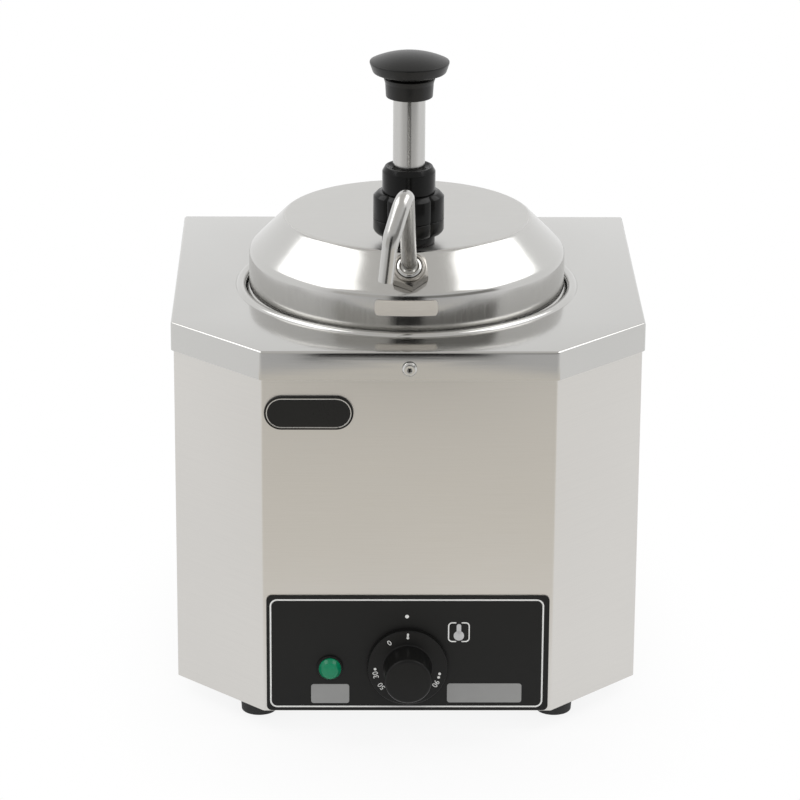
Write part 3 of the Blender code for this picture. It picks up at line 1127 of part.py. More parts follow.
def make_lid(lid):
    """Lid with holes for the pump and the fitting, and a bare plate on its front."""
    shell = turned("lid", lid_outline(), "polished_steel", lid, (0, POT_CENTRE_Y, 0), steps=FINE_STEPS)
    drill(shell, CYLINDER_RADIUS + GAP, LID_SHEET + 2 * OVERRUN, (0, PUMP_Y, LID_TOP_Z), steps=ROUND_STEPS)
    drill(shell, UNION_RADIUS + GAP, LID_SHEET + 2 * OVERRUN, FITTING_POINT, SLOPE_DIRECTION)
    work = bmesh.new()
    bmesh.ops.create_grid(work, x_segments=8, y_segments=1, size=1.0)
    radius = LID_RADIUS + GAP
    middle_z = LID_RIM_Z - PLATE_BELOW_RIM
    for vert in work.verts:
        angle = (PLATE_X + vert.co.x * PLATE_WIDTH / 2) / radius
        vert.co = Vector((radius * math.sin(angle), -radius * math.cos(angle),
                          middle_z + vert.co.y * PLATE_HEIGHT / 2))
    face_outward(work, Vector((0, 1, 0)))
    plate = add("lid_blank_plate", finish_mesh("lid_blank_plate", work), "blank_plate", lid,
                (0, POT_CENTRE_Y, 0))
    solidify(plate, PLATE_THICKNESS)


def make_pump_head(lid, grip):
    """What stands on the lid round the cylinder, and the nut below the lid."""
    bore = CYLINDER_RADIUS + GAP
    centre = (0, PUMP_Y, 0)
    ring_top = PUMP_BASE_Z + PUMP_BASE_HEIGHT
    turned("pump_base_ring", ring_outline(PUMP_BASE_RADIUS, bore, PUMP_BASE_Z, ring_top),
           "black_plastic", lid, centre)
    nut_top = LID_UNDER_Z - GAP
    turned("pump_lock_nut", ring_outline(LOCK_NUT_RADIUS, bore, nut_top - LOCK_NUT_HEIGHT, nut_top),
           "black_plastic", lid, centre)
    tube_top = COLLAR_Z - GAP
    turned("pump_cylinder", ring_outline(CYLINDER_RADIUS, CYLINDER_BORE, TUBE_START_Z, tube_top),
           "polished_steel", lid, centre)
    rod = PLUNGER_RADIUS + GAP
    crown = COLLAR_RADIUS - COLLAR_BEVEL
    outline = [(crown, COLLAR_TOP_Z), (COLLAR_RADIUS, COLLAR_TOP_Z - COLLAR_BEVEL - COLLAR_LIP_SLOPE),
               (COLLAR_RADIUS, COLLAR_Z), (rod, COLLAR_Z), (rod, COLLAR_TOP_Z)]
    turned("pump_collar_cap", outline, "black_plastic", lid, centre)
    make_grip_nut(grip)


def make_grip_nut(grip):
    """Lobed nut with chamfered ends and a thin seam round its middle."""
    seam = GRIP_SEAM_HEIGHT
    edge = GRIP_SEAM_WIDTH
    levels = [(0, -GRIP_BOTTOM_CHAMFER), (GRIP_BOTTOM_CHAMFER, 0), (seam - edge, 0), (seam, -edge),
              (seam + edge, 0), (GRIP_HEIGHT - GRIP_TOP_CHAMFER, 0), (GRIP_HEIGHT, -GRIP_TOP_CHAMFER)]
    points = GRIP_LOBES * 8

    def place(index, height, offset):
        angle = 2 * math.pi * index / points
        wave = abs(math.cos(GRIP_LOBES * angle / 2))
        radius = GRIP_RADIUS - GRIP_LOBE_DEPTH * (1 - wave) + offset
        return Vector((radius * math.cos(angle), radius * math.sin(angle), height))

    work = bmesh.new()
    verts = [work.verts.new(place(i, *levels[0])) for i in range(points)]
    bottom = work.faces.new(verts)
    edges = list(bottom.edges)
    order = {vert: i for i, vert in enumerate(verts)}
    for height, offset in levels[1:]:
        lifted = {}
        made = bmesh.ops.extrude_edge_only(work, edges=edges)["geom"]
        fresh = [item for item in made if isinstance(item, bmesh.types.BMVert)]
        for vert in fresh:
            source = next(edge.other_vert(vert) for edge in vert.link_edges if edge.other_vert(vert) in order)
            lifted[vert] = order[source]
        for vert, index in lifted.items():
            vert.co = place(index, height, offset)
        edges = [item for item in made if isinstance(item, bmesh.types.BMEdge)
                 and all(vert in lifted for vert in item.verts)]
        order = lifted
    bmesh.ops.contextual_create(work, geom=edges)
    bmesh.ops.recalc_face_normals(work, faces=work.faces)
    nut = add("pump_grip_nut", finish_mesh("pump_grip_nut", work), "black_plastic", grip)
    drill(nut, CYLINDER_RADIUS + GAP, GRIP_HEIGHT + 2 * OVERRUN, (0, 0, GRIP_HEIGHT / 2), steps=ROUND_STEPS)


def make_plunger(plunger):
    """Palm knob, plunger tube and piston, and the spring below the piston."""
    hub, lip = KNOB_HUB_RADIUS, KNOB_HUB_LIP
    side = KNOB_RADIUS - KNOB_SIDE_TAPER
    rim_top = KNOB_RIM_Z + KNOB_RIM_HEIGHT
    bore = PLUNGER_RADIUS + GAP
    dome_radius = (KNOB_RADIUS ** 2 + KNOB_DOME ** 2) / (2 * KNOB_DOME)
    spread = math.degrees(math.asin(KNOB_RADIUS / dome_radius))
    dome = arc((0, KNOB_TOP_Z - dome_radius), dome_radius, 90, 90 - spread, ROLL_STEPS + 1)[1:]
    neck, lip_z = KNOB_NECK_RADIUS, KNOB_LIP_Z
    outline = [(0, KNOB_TOP_Z)] + dome + [
        (KNOB_RADIUS, KNOB_RIM_Z), (side, KNOB_UNDER_Z + KNOB_EDGE), (side - KNOB_EDGE, KNOB_UNDER_Z),
        (neck, KNOB_UNDER_Z), (neck, lip_z), (hub + lip, lip_z), (hub + lip / 3, lip_z - 2 * lip),
        (hub, HUB_Z), (bore, HUB_Z), (bore, HUB_Z + KNOB_SOCKET), (0, HUB_Z + KNOB_SOCKET)]
    turned("plunger_knob", outline, "black_plastic", plunger, steps=KNOB_STEPS)
    tube_top = HUB_Z + KNOB_SOCKET - GAP
    inner = PLUNGER_RADIUS - PLUNGER_WALL
    turned("plunger_tube", ring_outline(PLUNGER_RADIUS, inner, PISTON_TOP_Z + GAP, tube_top),
           "polished_steel", plunger)
    radius = CYLINDER_BORE - PISTON_CLEARANCE
    spigot = inner - GAP
    groove = radius - PISTON_GROOVE
    spigot_top = PISTON_TOP_Z + PISTON_SPIGOT
    outline = [(0, spigot_top), (spigot, spigot_top), (spigot, PISTON_TOP_Z), (radius, PISTON_TOP_Z),
               (radius, PISTON_REST_Z + 2 * PISTON_HEIGHT / 3),
               (groove, PISTON_REST_Z + PISTON_HEIGHT / 2), (radius, PISTON_REST_Z + PISTON_HEIGHT / 3),
               (radius, PISTON_REST_Z), (0, PISTON_REST_Z)]
    turned("piston", outline, "white_seal", plunger)


def make_spring(frame):
    """Return spring between the pump foot and the piston."""
    low = TUBE_START_Z + SPRING_WIRE
    high = PISTON_REST_Z - GAP - SPRING_WIRE
    count = SPRING_TURNS * SPRING_POINTS
    points = []
    for i in range(count + 1):
        angle = 2 * math.pi * i / SPRING_POINTS
        points.append(Vector((SPRING_RADIUS * math.cos(angle), SPRING_RADIUS * math.sin(angle),
                              low + (high - low) * i / count)))
    coil = rod_curve("return_spring", points, SPRING_WIRE, resolution=1)
    add("return_spring", coil, "polished_steel", frame)


def make_pump_foot(lid):
    """Valve foot: socket for the cylinder, inlet cage with its pin, passage and outlet boss."""
    height = PUMP_FOOT_TOP_Z - PUMP_FOOT_Z
    middle = PUMP_FOOT_Z + height / 2
    foot = add("pump_foot", cylinder_mesh("pump_foot", PUMP_FOOT_RADIUS, height), "white_seal", lid,
               (0, PUMP_Y, middle))
    bridge = (2 * OUTLET_BOSS_RADIUS, OUTLET_SPACING, height)
    boss = cylinder_mesh("outlet_boss", OUTLET_BOSS_RADIUS, height, SMALL_STEPS)
    join(foot, box_mesh("outlet_bridge", bridge), (0, PUMP_Y - OUTLET_SPACING / 2, middle))
    join(foot, boss, (0, OUTLET_Y, middle))
    socket = PUMP_SOCKET_DEPTH + OVERRUN
    drill(foot, CYLINDER_RADIUS + GAP, socket, (0, PUMP_Y, PUMP_SEAT_Z + socket / 2), steps=ROUND_STEPS)
    cage = PUMP_SEAT_Z - INLET_SEAT_Z + OVERRUN
    drill(foot, INLET_CAGE_RADIUS, cage, (0, PUMP_Y, INLET_SEAT_Z + cage / 2))
    drill(foot, INLET_SEAT_RADIUS, 2 * (INLET_SEAT_HEIGHT + OVERRUN), (0, PUMP_Y, PUMP_FOOT_Z))
    drill(foot, TUBE_RADIUS + GAP, socket, (0, OUTLET_Y, PUMP_SEAT_Z + socket / 2))
    chamber = PUMP_SEAT_Z - OUTLET_SEAT_Z + OVERRUN
    drill(foot, OUTLET_CAGE_RADIUS, chamber, (0, OUTLET_Y, OUTLET_SEAT_Z + chamber / 2))
    throat = OUTLET_SEAT_RISE - PASSAGE_RISE + OVERRUN
    throat_low = PUMP_FOOT_Z + PASSAGE_RISE
    drill(foot, OUTLET_SEAT_RADIUS, throat, (0, OUTLET_Y, throat_low + throat / 2), steps=12)
    passage_z = throat_low + PASSAGE_RADIUS + GAP
    drill(foot, PASSAGE_RADIUS, OUTLET_SPACING, (0, PUMP_Y - OUTLET_SPACING / 2, passage_z), (0, 1, 0), 12)
    pin_z = INLET_BALL_Z + INLET_BALL_LIFT + INLET_BALL_RADIUS + GAP + CAGE_PIN_RADIUS
    pin = cylinder_mesh("cage_pin", CAGE_PIN_RADIUS, 2 * (INLET_CAGE_RADIUS + CAGE_PIN_RADIUS), 8)
    join(foot, pin, (0, PUMP_Y, pin_z), aim((1, 0, 0)))


def ball(name, radius, parent, material="polished_steel"):
    """Valve ball about its own centre."""
    work = bmesh.new()
    bmesh.ops.create_uvsphere(work, u_segments=12, v_segments=8, radius=radius)
    data = finish_mesh(name, work)
    data.shade_smooth()
    add(name, data, material, parent)


def along(distance):
    """A place on the fitting's axis, measured out from the lid's slope."""
    return FITTING_POINT + SLOPE_DIRECTION * distance


def make_discharge(lid):
    """Discharge tube with its threaded union, the gasket and the spout nut."""
    curve_radius = (LID_RADIUS - LID_SLOPE / 2) * math.sqrt(2)
    gasket_top = -LID_SHEET - GAP - UNION_FLANGE_RADIUS ** 2 / (2 * curve_radius)
    flange_top = gasket_top - GASKET_THICKNESS - GAP
    flange_low = flange_top - UNION_FLANGE
    corner = Vector((0, OUTLET_Y, FITTING_POINT.z - (OUTLET_Y - FITTING_POINT.y)))
    start = Vector((0, OUTLET_Y, TUBE_START_Z))
    route = rounded_path([start, corner, along(flange_top)], TUBE_BEND)
    tube = add("discharge_tube", rod_mesh("discharge_tube", route, TUBE_RADIUS), "polished_steel", lid)
    turn = aim(SLOPE_DIRECTION)
    flange = cylinder_mesh("union_flange", UNION_FLANGE_RADIUS, UNION_FLANGE, SMALL_STEPS)
    join(tube, flange, along((flange_top + flange_low) / 2), turn)
    barrel = UNION_RISE - flange_low - UNION_FLANGE / 2
    sleeve = cylinder_mesh("union_barrel", UNION_RADIUS, barrel, SMALL_STEPS)
    join(tube, sleeve, along(UNION_RISE - barrel / 2), turn)
    bore = rounded_path([start - Vector((0, 0, OVERRUN)), corner, along(UNION_RISE + OVERRUN)], TUBE_BEND)
    cut(tube, rod_mesh("discharge_bore", bore, TUBE_BORE))
    slot = [(UNION_FLANGE_RADIUS, gasket_top), (UNION_FLANGE_RADIUS, gasket_top - GASKET_THICKNESS),
            (UNION_RADIUS + GAP, gasket_top - GASKET_THICKNESS), (UNION_RADIUS + GAP, gasket_top)]
    turned("fitting_gasket", slot, "black_rubber", lid, FITTING_POINT, turn, SMALL_STEPS)
    corner_radius = SPOUT_NUT_FLATS / math.sqrt(3)
    nut = add("spout_nut", cylinder_mesh("spout_nut", corner_radius, SPOUT_NUT_HEX, 6), "polished_steel", lid,
              along(GAP + SPOUT_NUT_HEX / 2), turn)
    collar = SPOUT_NUT_TOP - GAP - SPOUT_NUT_HEX / 2
    join(nut, cylinder_mesh("nut_collar", SPOUT_NUT_RADIUS, collar, ROUND_STEPS // 2,
                            SPOUT_NUT_RADIUS - SPOUT_NUT_TAPER), along(SPOUT_NUT_TOP - collar / 2), turn)
    chamber = SPOUT_NUT_TOP - SPOUT_NUT_LIP + OVERRUN
    drill(nut, UNION_RADIUS + GAP, chamber, along(chamber / 2 - OVERRUN), SLOPE_DIRECTION)
    drill(nut, TUBE_RADIUS + SPOUT_NUT_OPENING, 2 * SPOUT_NUT_LIP + OVERRUN, along(SPOUT_NUT_TOP),
          SLOPE_DIRECTION)


def make_spout(spout):
    """Open spout: a long riser, a bend, a slanted run and a short drop, on a ferrule."""
    foot = Vector((0, 0, 0))
    reach = SLOPE_DIRECTION * (SPOUT_REACH - UNION_RISE - GAP) - Vector((SPOUT_LEAN, 0, 0))
    pitch, yaw = math.radians(SPOUT_SLANT_PITCH), math.radians(SPOUT_SLANT_YAW)
    slant = Vector((-math.sin(yaw) * math.cos(pitch), -math.cos(yaw) * math.cos(pitch), -math.sin(pitch)))
    lean = math.radians(SPOUT_DROP_LEAN)
    drop = Vector((-math.sin(lean), 0, -math.cos(lean)))
    third = reach + slant * SPOUT_SLANT
    corners = [SLOPE_DIRECTION * FERRULE_HEIGHT / 4, reach, third, third + drop * SPOUT_DROP]
    tube = add("spout_tube", rod_mesh("spout_tube", rounded_path(corners, SPOUT_BEND), TUBE_RADIUS, 3),
               "polished_steel", spout)
    ferrule = cylinder_mesh("spout_ferrule", FERRULE_RADIUS, FERRULE_HEIGHT, SMALL_STEPS)
    join(tube, ferrule, SLOPE_DIRECTION * FERRULE_HEIGHT / 2, aim(SLOPE_DIRECTION))
    ends = [foot - SLOPE_DIRECTION * OVERRUN] + corners[1:-1] + [corners[-1] + drop * OVERRUN]
    cut(tube, rod_mesh("spout_bore", rounded_path(ends, SPOUT_BEND), TUBE_BORE))
    return corners[-1]


def spout_tip_y():
    """Front reach of the spout's tip from the cover's middle."""
    pitch, yaw = math.radians(SPOUT_SLANT_PITCH), math.radians(SPOUT_SLANT_YAW)
    rise = SLOPE_DIRECTION.y * SPOUT_REACH
    return FITTING_POINT.y + rise - math.cos(yaw) * math.cos(pitch) * SPOUT_SLANT - TUBE_RADIUS


def main():
    """Build every piece under one empty, which centres the whole object's box."""
    clear_scene()
    make_materials()
    rear_reach = max(COVER_DEPTH / 2 + GAP + COVER_SCREW_HEAD,
                     REAR_OUTER_Y + 2 * GAP + INLET_FLANGE + SMALL_SCREW_HEAD)
    root = empty("warmer", None, (0, -(spout_tip_y() + rear_reach) / 2, 0))
    dial = empty("dial_axis", root, (0, DIAL_BACK_Y, DIAL_Z))
    pot = empty("pot_slide", root)
    lid = empty("lid_slide", pot)
    grip = empty("grip_axis", lid, (0, PUMP_Y, GRIP_Z))
    plunger = empty("plunger_slide", lid, (0, PUMP_Y, 0))
    spout = empty("spout_axis", lid, along(UNION_RISE + GAP))
    inlet_ball = empty("inlet_ball_lift", lid, (0, PUMP_Y, INLET_BALL_Z))
    outlet_ball = empty("outlet_ball_lift", lid, (0, OUTLET_Y, OUTLET_BALL_Z))
    make_cover(root)
    make_wrapper(root)
    make_rear_panel(root)
    make_base(root)
    make_feet(root)
    make_cover_screws(root)
    make_front(root)
    make_pilot_lamp(root)
    make_thermostat(root, dial)
    make_well(root)
    make_heater(root)
    make_jacket(root)
    make_bulb(root)
    make_inlet(root)
    make_wiring(root)
    make_pot(pot)
    make_lid(lid)
    make_pump_head(lid, grip)
    make_plunger(plunger)
    make_spring(plunger)
    make_pump_foot(lid)
    make_discharge(lid)
    make_spout(spout)
    ball("inlet_valve_ball", INLET_BALL_RADIUS, inlet_ball)
    ball("outlet_valve_ball", OUTLET_BALL_RADIUS, outlet_ball)
    bpy.context.view_layer.update()


main()
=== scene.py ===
"""Dressed model of a heated topping warmer with a pump lid, built round its packed solids."""

import json
import math

import bmesh
import bpy
from bpy.props import FloatProperty, FloatVectorProperty, IntProperty, PointerProperty
from mathutils import Matrix, Quaternion, Vector


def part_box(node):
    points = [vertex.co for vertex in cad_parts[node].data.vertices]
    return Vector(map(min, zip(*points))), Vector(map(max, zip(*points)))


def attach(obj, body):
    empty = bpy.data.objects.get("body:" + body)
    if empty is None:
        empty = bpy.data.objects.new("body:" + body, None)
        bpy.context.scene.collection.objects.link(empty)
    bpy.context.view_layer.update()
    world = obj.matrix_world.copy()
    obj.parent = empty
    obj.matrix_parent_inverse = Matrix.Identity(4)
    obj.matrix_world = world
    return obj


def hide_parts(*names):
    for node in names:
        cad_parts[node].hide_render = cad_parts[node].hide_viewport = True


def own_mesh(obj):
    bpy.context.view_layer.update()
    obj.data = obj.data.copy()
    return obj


bl_info = {
    "name": "Topping Warmer",
    "version": (1, 0, 0),
    "blender": (4, 5, 0),
    "location": "3D Viewport > Sidebar > Topping Warmer",
    "description": "Models the dressed pieces of a heated topping warmer round its packed solids",
    "category": "Add Mesh",
}

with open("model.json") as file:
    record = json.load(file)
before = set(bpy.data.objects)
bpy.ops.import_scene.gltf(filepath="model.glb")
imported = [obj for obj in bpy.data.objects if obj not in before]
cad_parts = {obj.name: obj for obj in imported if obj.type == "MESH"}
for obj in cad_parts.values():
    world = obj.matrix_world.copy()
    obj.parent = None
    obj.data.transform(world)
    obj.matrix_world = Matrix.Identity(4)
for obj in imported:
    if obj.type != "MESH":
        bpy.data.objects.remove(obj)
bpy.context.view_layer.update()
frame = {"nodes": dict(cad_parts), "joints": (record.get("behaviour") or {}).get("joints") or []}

MM = 0.001
WELD = 0.004 * MM
UP, RIGHT, FRONT = Vector((0, 0, 1)), Vector((1, 0, 0)), Vector((0, -1, 0))
THROUGH = (0, 1, 0)
DEEP = 1
FULL_TURN = 2 * math.pi
WHITE = (1, 1, 1, 1)
INK = 0.06 * MM
INK_SINK = 0.02 * MM
PUMP_BORE = 12.3 * MM
KNOB_BORE = 9.4 * MM
SHAFT_HOLE = 3.3 * MM
LAMP_HOLE = 6.1 * MM
COVER_SCREW_HOLE = 2.3 * MM
SMALL_SCREW_HOLE = 1.8 * MM
FINISHES = {}


def middle(node):
    """Middle of a CAD node's box."""
    low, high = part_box(node)
    return (low + high) / 2


def girth(node):
    """Corners of a CAD node's box, and half its width."""
    low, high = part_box(node)
    return low, high, (high.x - low.x) / 2


def joint_named(name):
    """The packed joint of that name."""
    return next(joint for joint in frame["joints"] if joint["name"] == name)


def mm(*values):
    """Millimetres as metres, for numbers and for the points of an outline."""
    return [mm(*value) if isinstance(value, tuple) else value * MM for value in values]


def spoke(angle):
    """Direction at an angle round an upright axis."""
    return Vector((math.cos(angle), math.sin(angle), 0))


def arc(centre, radius, angles):
    """Points of a flat arc round a centre, one at each angle in degrees."""
    return [(centre[0] + radius * math.cos(math.radians(angle)),
             centre[1] + radius * math.sin(math.radians(angle))) for angle in angles]


def cut_corners(low, high, cut):
    """Plan of a box with its two front corners cut back, from its rear left to its rear right."""
    return [(low.x, high.y), (low.x, low.y + cut), (low.x + cut, low.y), (high.x - cut, low.y),
            (high.x, low.y + cut), (high.x, high.y)]


COVER_LOW, COVER_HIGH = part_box("top_cover")
PANEL_LOW, PANEL_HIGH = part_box("control_panel")
POT_AXIS = Vector((0, middle("lid").y, 0))
PUMP_AXIS = Vector((0, middle("plunger_tube").y, 0))
SPOUT_POINT = Vector(joint_named("spout_swivel")["pos_m"])
SPOUT_AXIS = Vector(joint_named("spout_swivel")["axis"])


# Hand tools: drawing, turning, folding, drilling and fitting a piece

def rounded(corners, size=2, steps=5):
    """Corners with an optional rounding as last number; each rounding becomes a short arc."""
    spots = []
    for i, corner in enumerate(corners):
        here = Vector(corner[:size])
        if len(corner) == size:
            spots.append(here)
            continue
        back = (Vector(corners[i - 1][:size]) - here).normalized()
        ahead = (Vector(corners[(i + 1) % len(corners)][:size]) - here).normalized()
        half = back.angle(ahead) / 2
        centre = here + (back + ahead).normalized() * corner[size] / math.sin(half)
        first = here + back * corner[size] / math.tan(half) - centre
        last = here + ahead * corner[size] / math.tan(half) - centre
        turn = math.pi - 2 * half
        for k in range(steps + 1):
            share = k / steps
            spots.append(centre + (math.sin((1 - share) * turn) * first
                                   + math.sin(share * turn) * last) / math.sin(turn))
    return spots


def deselected():
    """Leave nothing selected, before a new primitive is added."""
    bpy.ops.object.select_all(action="DESELECT")


def named(name):
    """The active object, with its name given to it and its data."""
    piece = bpy.context.object
    piece.name = piece.data.name = name
    return piece


def mode(name):
    """Go to edit or object mode."""
    bpy.ops.object.mode_set(mode=name)


def drawn(name, spots, closed=False):
    """A new mesh in edit mode, its points drawn one after another by extruding."""
    deselected()
    bpy.ops.mesh.primitive_plane_add(size=MM, location=(0, 0, 0))
    piece = named(name)
    mode("EDIT")
    bpy.ops.mesh.select_mode(type="VERT")
    bpy.ops.mesh.select_all(action="SELECT")
    bpy.ops.mesh.merge(type="CENTER")
    bpy.ops.transform.translate(value=spots[0])
    path = list(spots) + list(spots[:1]) if closed else list(spots)
    for start, end in zip(path, path[1:]):
        raised(end - start)
    bpy.ops.mesh.select_all(action="SELECT")
    bpy.ops.mesh.remove_doubles(threshold=WELD)
    return piece


def raised(shift):
    """Extrude what is selected by a shift."""
    bpy.ops.mesh.extrude_region_move(TRANSFORM_OT_translate={"value": shift})


def pick(test):
    """Select in edit mode the edges that pass a test."""
    bpy.ops.mesh.select_mode(type="EDGE")
    bpy.ops.mesh.select_all(action="DESELECT")
    data = bpy.context.object.data
    work = bmesh.from_edit_mesh(data)
    for edge in work.edges:
        edge.select_set(bool(test(edge)))
    work.select_flush_mode()
    bmesh.update_edit_mesh(data)


def closed_up(piece, angle=32):
    """Leave edit mode with doubles merged, faces outwards and smooth shading between folds."""
    bpy.ops.mesh.select_all(action="SELECT")
    bpy.ops.mesh.remove_doubles(threshold=WELD)
    bpy.ops.mesh.normals_make_consistent(inside=False)
    mode("OBJECT")
    shaded(piece, angle)
    return piece


def shaded(piece, angle=32):
    """Smooth shading up to an angle between faces."""
    only(piece)
    bpy.ops.object.shade_smooth_by_angle(angle=math.radians(angle))


def only(piece):
    """Select one object and make it active."""
    deselected()
    piece.select_set(True)
    bpy.context.view_layer.objects.active = piece


def turned(name, outline, place, steps=96, closed=False, axis=UP, side=RIGHT, turn=FULL_TURN, ease=5):
    """Draw half an outline as (out, up) from a place on its axis, then spin it."""
    spots = [place + side * spot.x + axis * spot.y for spot in rounded(outline, steps=ease)]
    piece = drawn(name, spots, closed)
    bpy.ops.mesh.spin(steps=steps, angle=turn, center=place, axis=axis)
    return closed_up(piece)


def sleeve(name, node, bore=0.0, wall=0.0, eases=(), steps=80):
    """Ring as wide and high as its CAD node round the pump's axis, with its edges' roundings in mm."""
    low, high, outer = girth(node)
    bore = bore or outer - wall
    outline = [(outer, low.z), (outer, high.z), (bore, high.z), (bore, low.z)]
    for i, ease in enumerate(eases):
        outline[i] += (ease * MM,)
    return turned(name, outline, PUMP_AXIS, steps, True)


def outward(piece, direction):
    """Turn an open sheet over if its largest face along a direction looks the other way."""
    only(piece)
    mode("EDIT")
    bpy.ops.mesh.select_all(action="SELECT")
    faces = bmesh.from_edit_mesh(piece.data).faces
    largest = max(faces, key=lambda face: abs(face.normal.dot(direction)) * face.calc_area())
    if largest.normal.dot(direction) < 0:
        bpy.ops.mesh.flip_normals()
    mode("OBJECT")


def copied(piece, name, shift):
    """A copy of a piece with its own mesh, moved by a shift."""
    only(piece)
    bpy.ops.object.duplicate()
    twin = named(name)
    bpy.ops.transform.translate(value=shift)
    bpy.ops.object.transform_apply(location=True, rotation=False, scale=False)
    return twin


def modified(piece, kind, **settings):
    """Give a piece one modifier and apply it."""
    only(piece)
    modifier = piece.modifiers.new(kind.title(), kind)
    for setting, value in settings.items():
        setattr(modifier, setting, value)
    bpy.ops.object.modifier_apply(modifier=modifier.name)


def thicken(piece, thickness):
    """Give an open sheet its wall on the side away from its faces."""
    modified(piece, "SOLIDIFY", thickness=thickness, offset=-1, use_even_offset=True)


def soften(piece, width, segments=2):
    """Round a piece's sharp edges."""
    modified(piece, "BEVEL", width=width, segments=segments, limit_method="ANGLE",
             angle_limit=math.radians(30), harden_normals=False)
    shaded(piece)


def cut_with(piece, tool, operation="DIFFERENCE"):
    """Boolean a tool into a piece and throw the tool away."""
    modified(piece, "BOOLEAN", operation=operation, object=tool, solver="EXACT")
    bpy.data.objects.remove(tool, do_unlink=True)


def drill(piece, radius, place, axis, length, sides=48):
    """Cut a round hole through a piece."""
    deselected()
    bpy.ops.mesh.primitive_cylinder_add(vertices=sides, radius=radius, depth=length, location=place,
                                        rotation=Vector(axis).to_track_quat("Z", "Y").to_euler())
    cut_with(piece, bpy.context.object)


def drill_at(piece, nodes, radius, y=None, length=8 * MM, sides=32):
    """Drill from front to back at some CAD nodes, at one depth or at their own."""
    for node in nodes:
        spot = middle(node)
        spot.y = spot.y if y is None else y
        drill(piece, radius, spot, THROUGH, length, sides)


def block(name, low, high, corner=0.0, soft=0.0, segments=8):
    """A cube between two corners, its edges from front to back rounded and the rest softened."""
    deselected()
    bpy.ops.mesh.primitive_cube_add(size=1, location=(0, 0, 0))
    piece = named(name)
    mode("EDIT")
    bpy.ops.transform.resize(value=high - low)
    bpy.ops.transform.translate(value=(high + low) / 2)
    if corner:
        others = [i for i in range(3) if i != DEEP]
        pick(lambda edge: all(abs(edge.verts[0].co[i] - edge.verts[1].co[i]) < WELD for i in others))
        bpy.ops.mesh.bevel(offset=corner, segments=segments, affect="EDGES")
    closed_up(piece)
    if soft:
        soften(piece, soft)
    return piece


def plate(name, edges, face, rise, sink, corner=0.0):
    """Thin plate on a face that looks to the front, its edges given as left, right, low and high."""
    left, right, low, high = edges
    return block(name, Vector((left, face - rise, low)), Vector((right, face + sink, high)), corner)


def tube(name, corners, radius, wall=0.0, steps=12, sides=10, swell=(1, 1, 1)):
    """A round tube along a path: drawn edges made a curve with a round section, then a mesh.

    The swell gives its width at the start, past the first bend and at the end.
    """
    piece = drawn(name, rounded(corners, 3, steps))
    mode("OBJECT")
    only(piece)
    bpy.ops.object.convert(target="CURVE")
    curve = bpy.context.object
    curve.data.bevel_depth = radius
    curve.data.bevel_resolution = sides
    curve.data.use_fill_caps = not wall
    points = curve.data.splines[0].points
    for i, point in enumerate(points):
        share = i / (len(points) - 1)
        near, far, part = (0, 1, share * 2) if share < 0.5 else (1, 2, share * 2 - 1)
        point.radius = swell[near] * (1 - part) + swell[far] * part
    bpy.ops.object.convert(target="MESH")
    piece = named(name)
    mode("EDIT")
    closed_up(piece, 40)
    if wall:
        thicken(piece, wall)
        shaded(piece, 40)
    return piece


def fit(piece, finish, body, *nodes, slot=None):
    """Give a piece its finish, the body that it moves with and the nodes it stands for; the slot is not used.
    """
    material, usual_slot = FINISHES[finish]
    piece.data.materials.clear()
    piece.data.materials.append(material)
    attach(piece, body)
    if nodes:
        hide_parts(*nodes)
    return piece


def cross_screw(name, place, axis, radius, head, shank, length):
    """Domed screw with a cross recess; its head stands on a place and its shank runs back."""
    outline = [(0, head), (radius * 0.45, head * 0.97), (radius * 0.85, head * 0.66, 0.4 * MM),
               (radius, head * 0.25, 0.2 * MM), (radius, 0), (shank, 0), (shank, -length, 0.3 * MM),
               (0, -length)]
    screw = turned(name, outline, place, 40, axis=axis)
    across = [i for i in range(3) if abs(axis[i]) < 0.5]
    for i in across:
        reach = Vector((radius * 0.12,) * 3)
        reach[i] = radius * 0.55
        reach[3 - sum(across)] = head * 0.5
        tip = place + axis * head
        cut_with(screw, block(name + "_slot", tip - reach, tip + reach))
    shaded(screw, 40)
    return screw


def ink_dot(name, spot, radius, finish="print", body="body", slot=None, steps=24):
    """Round dot of thin ink."""
    outline = [(0, INK), (radius, INK, INK / 2), (radius, -INK_SINK), (0, -INK_SINK)]
    fit(turned(name, outline, spot, steps, axis=FRONT), finish, body, slot=slot)


def printed(name, word, height, place, tilt):
    """A plain number as thin ink on a face that looks to the front."""
    deselected()
    bpy.ops.object.text_add(location=(0, 0, 0))
    ink = named(name)
    ink.data.body = word
    ink.data.size = height
    ink.data.align_x = ink.data.align_y = "CENTER"
    ink.data.extrude = INK / 2
    bpy.ops.object.convert(target="MESH")
    ink = named(name)
    ink.matrix_world = (Matrix.Translation(place) @ Matrix.Rotation(tilt, 4, "Y")
                        @ Matrix.Rotation(math.pi / 2, 4, "X"))
    only(ink)
    bpy.ops.object.transform_apply(location=True, rotation=True, scale=True)
    return ink


# Finishes: small tools for shader nodes, and one finish built from them

def added(tree, kind, inputs=None, **settings):
    """Add a shader node: its settings, then its inputs, each a value or another node's output."""
    made = tree.nodes.new("ShaderNode" + kind)
    for setting, value in settings.items():
        setattr(made, setting, value)
    for socket, value in (inputs or {}).items():
        if isinstance(value, bpy.types.NodeSocket):
            tree.links.new(value, made.inputs[socket])
        else:
            made.inputs[socket].default_value = value
    return made


def ranged(tree, value, start, end, low=0.0, high=1.0, easing="SMOOTHSTEP"):
    """A value carried from one range to another."""
    return added(tree, "MapRange", {"Value": value, "From Min": start, "From Max": end, "To Min": low,
                                    "To Max": high}, interpolation_type=easing).outputs["Result"]


def reckoned(tree, operation, *values):
    """A sum, product or other reckoning of values."""
    return added(tree, "Math", dict(enumerate(values)), operation=operation).outputs[0]


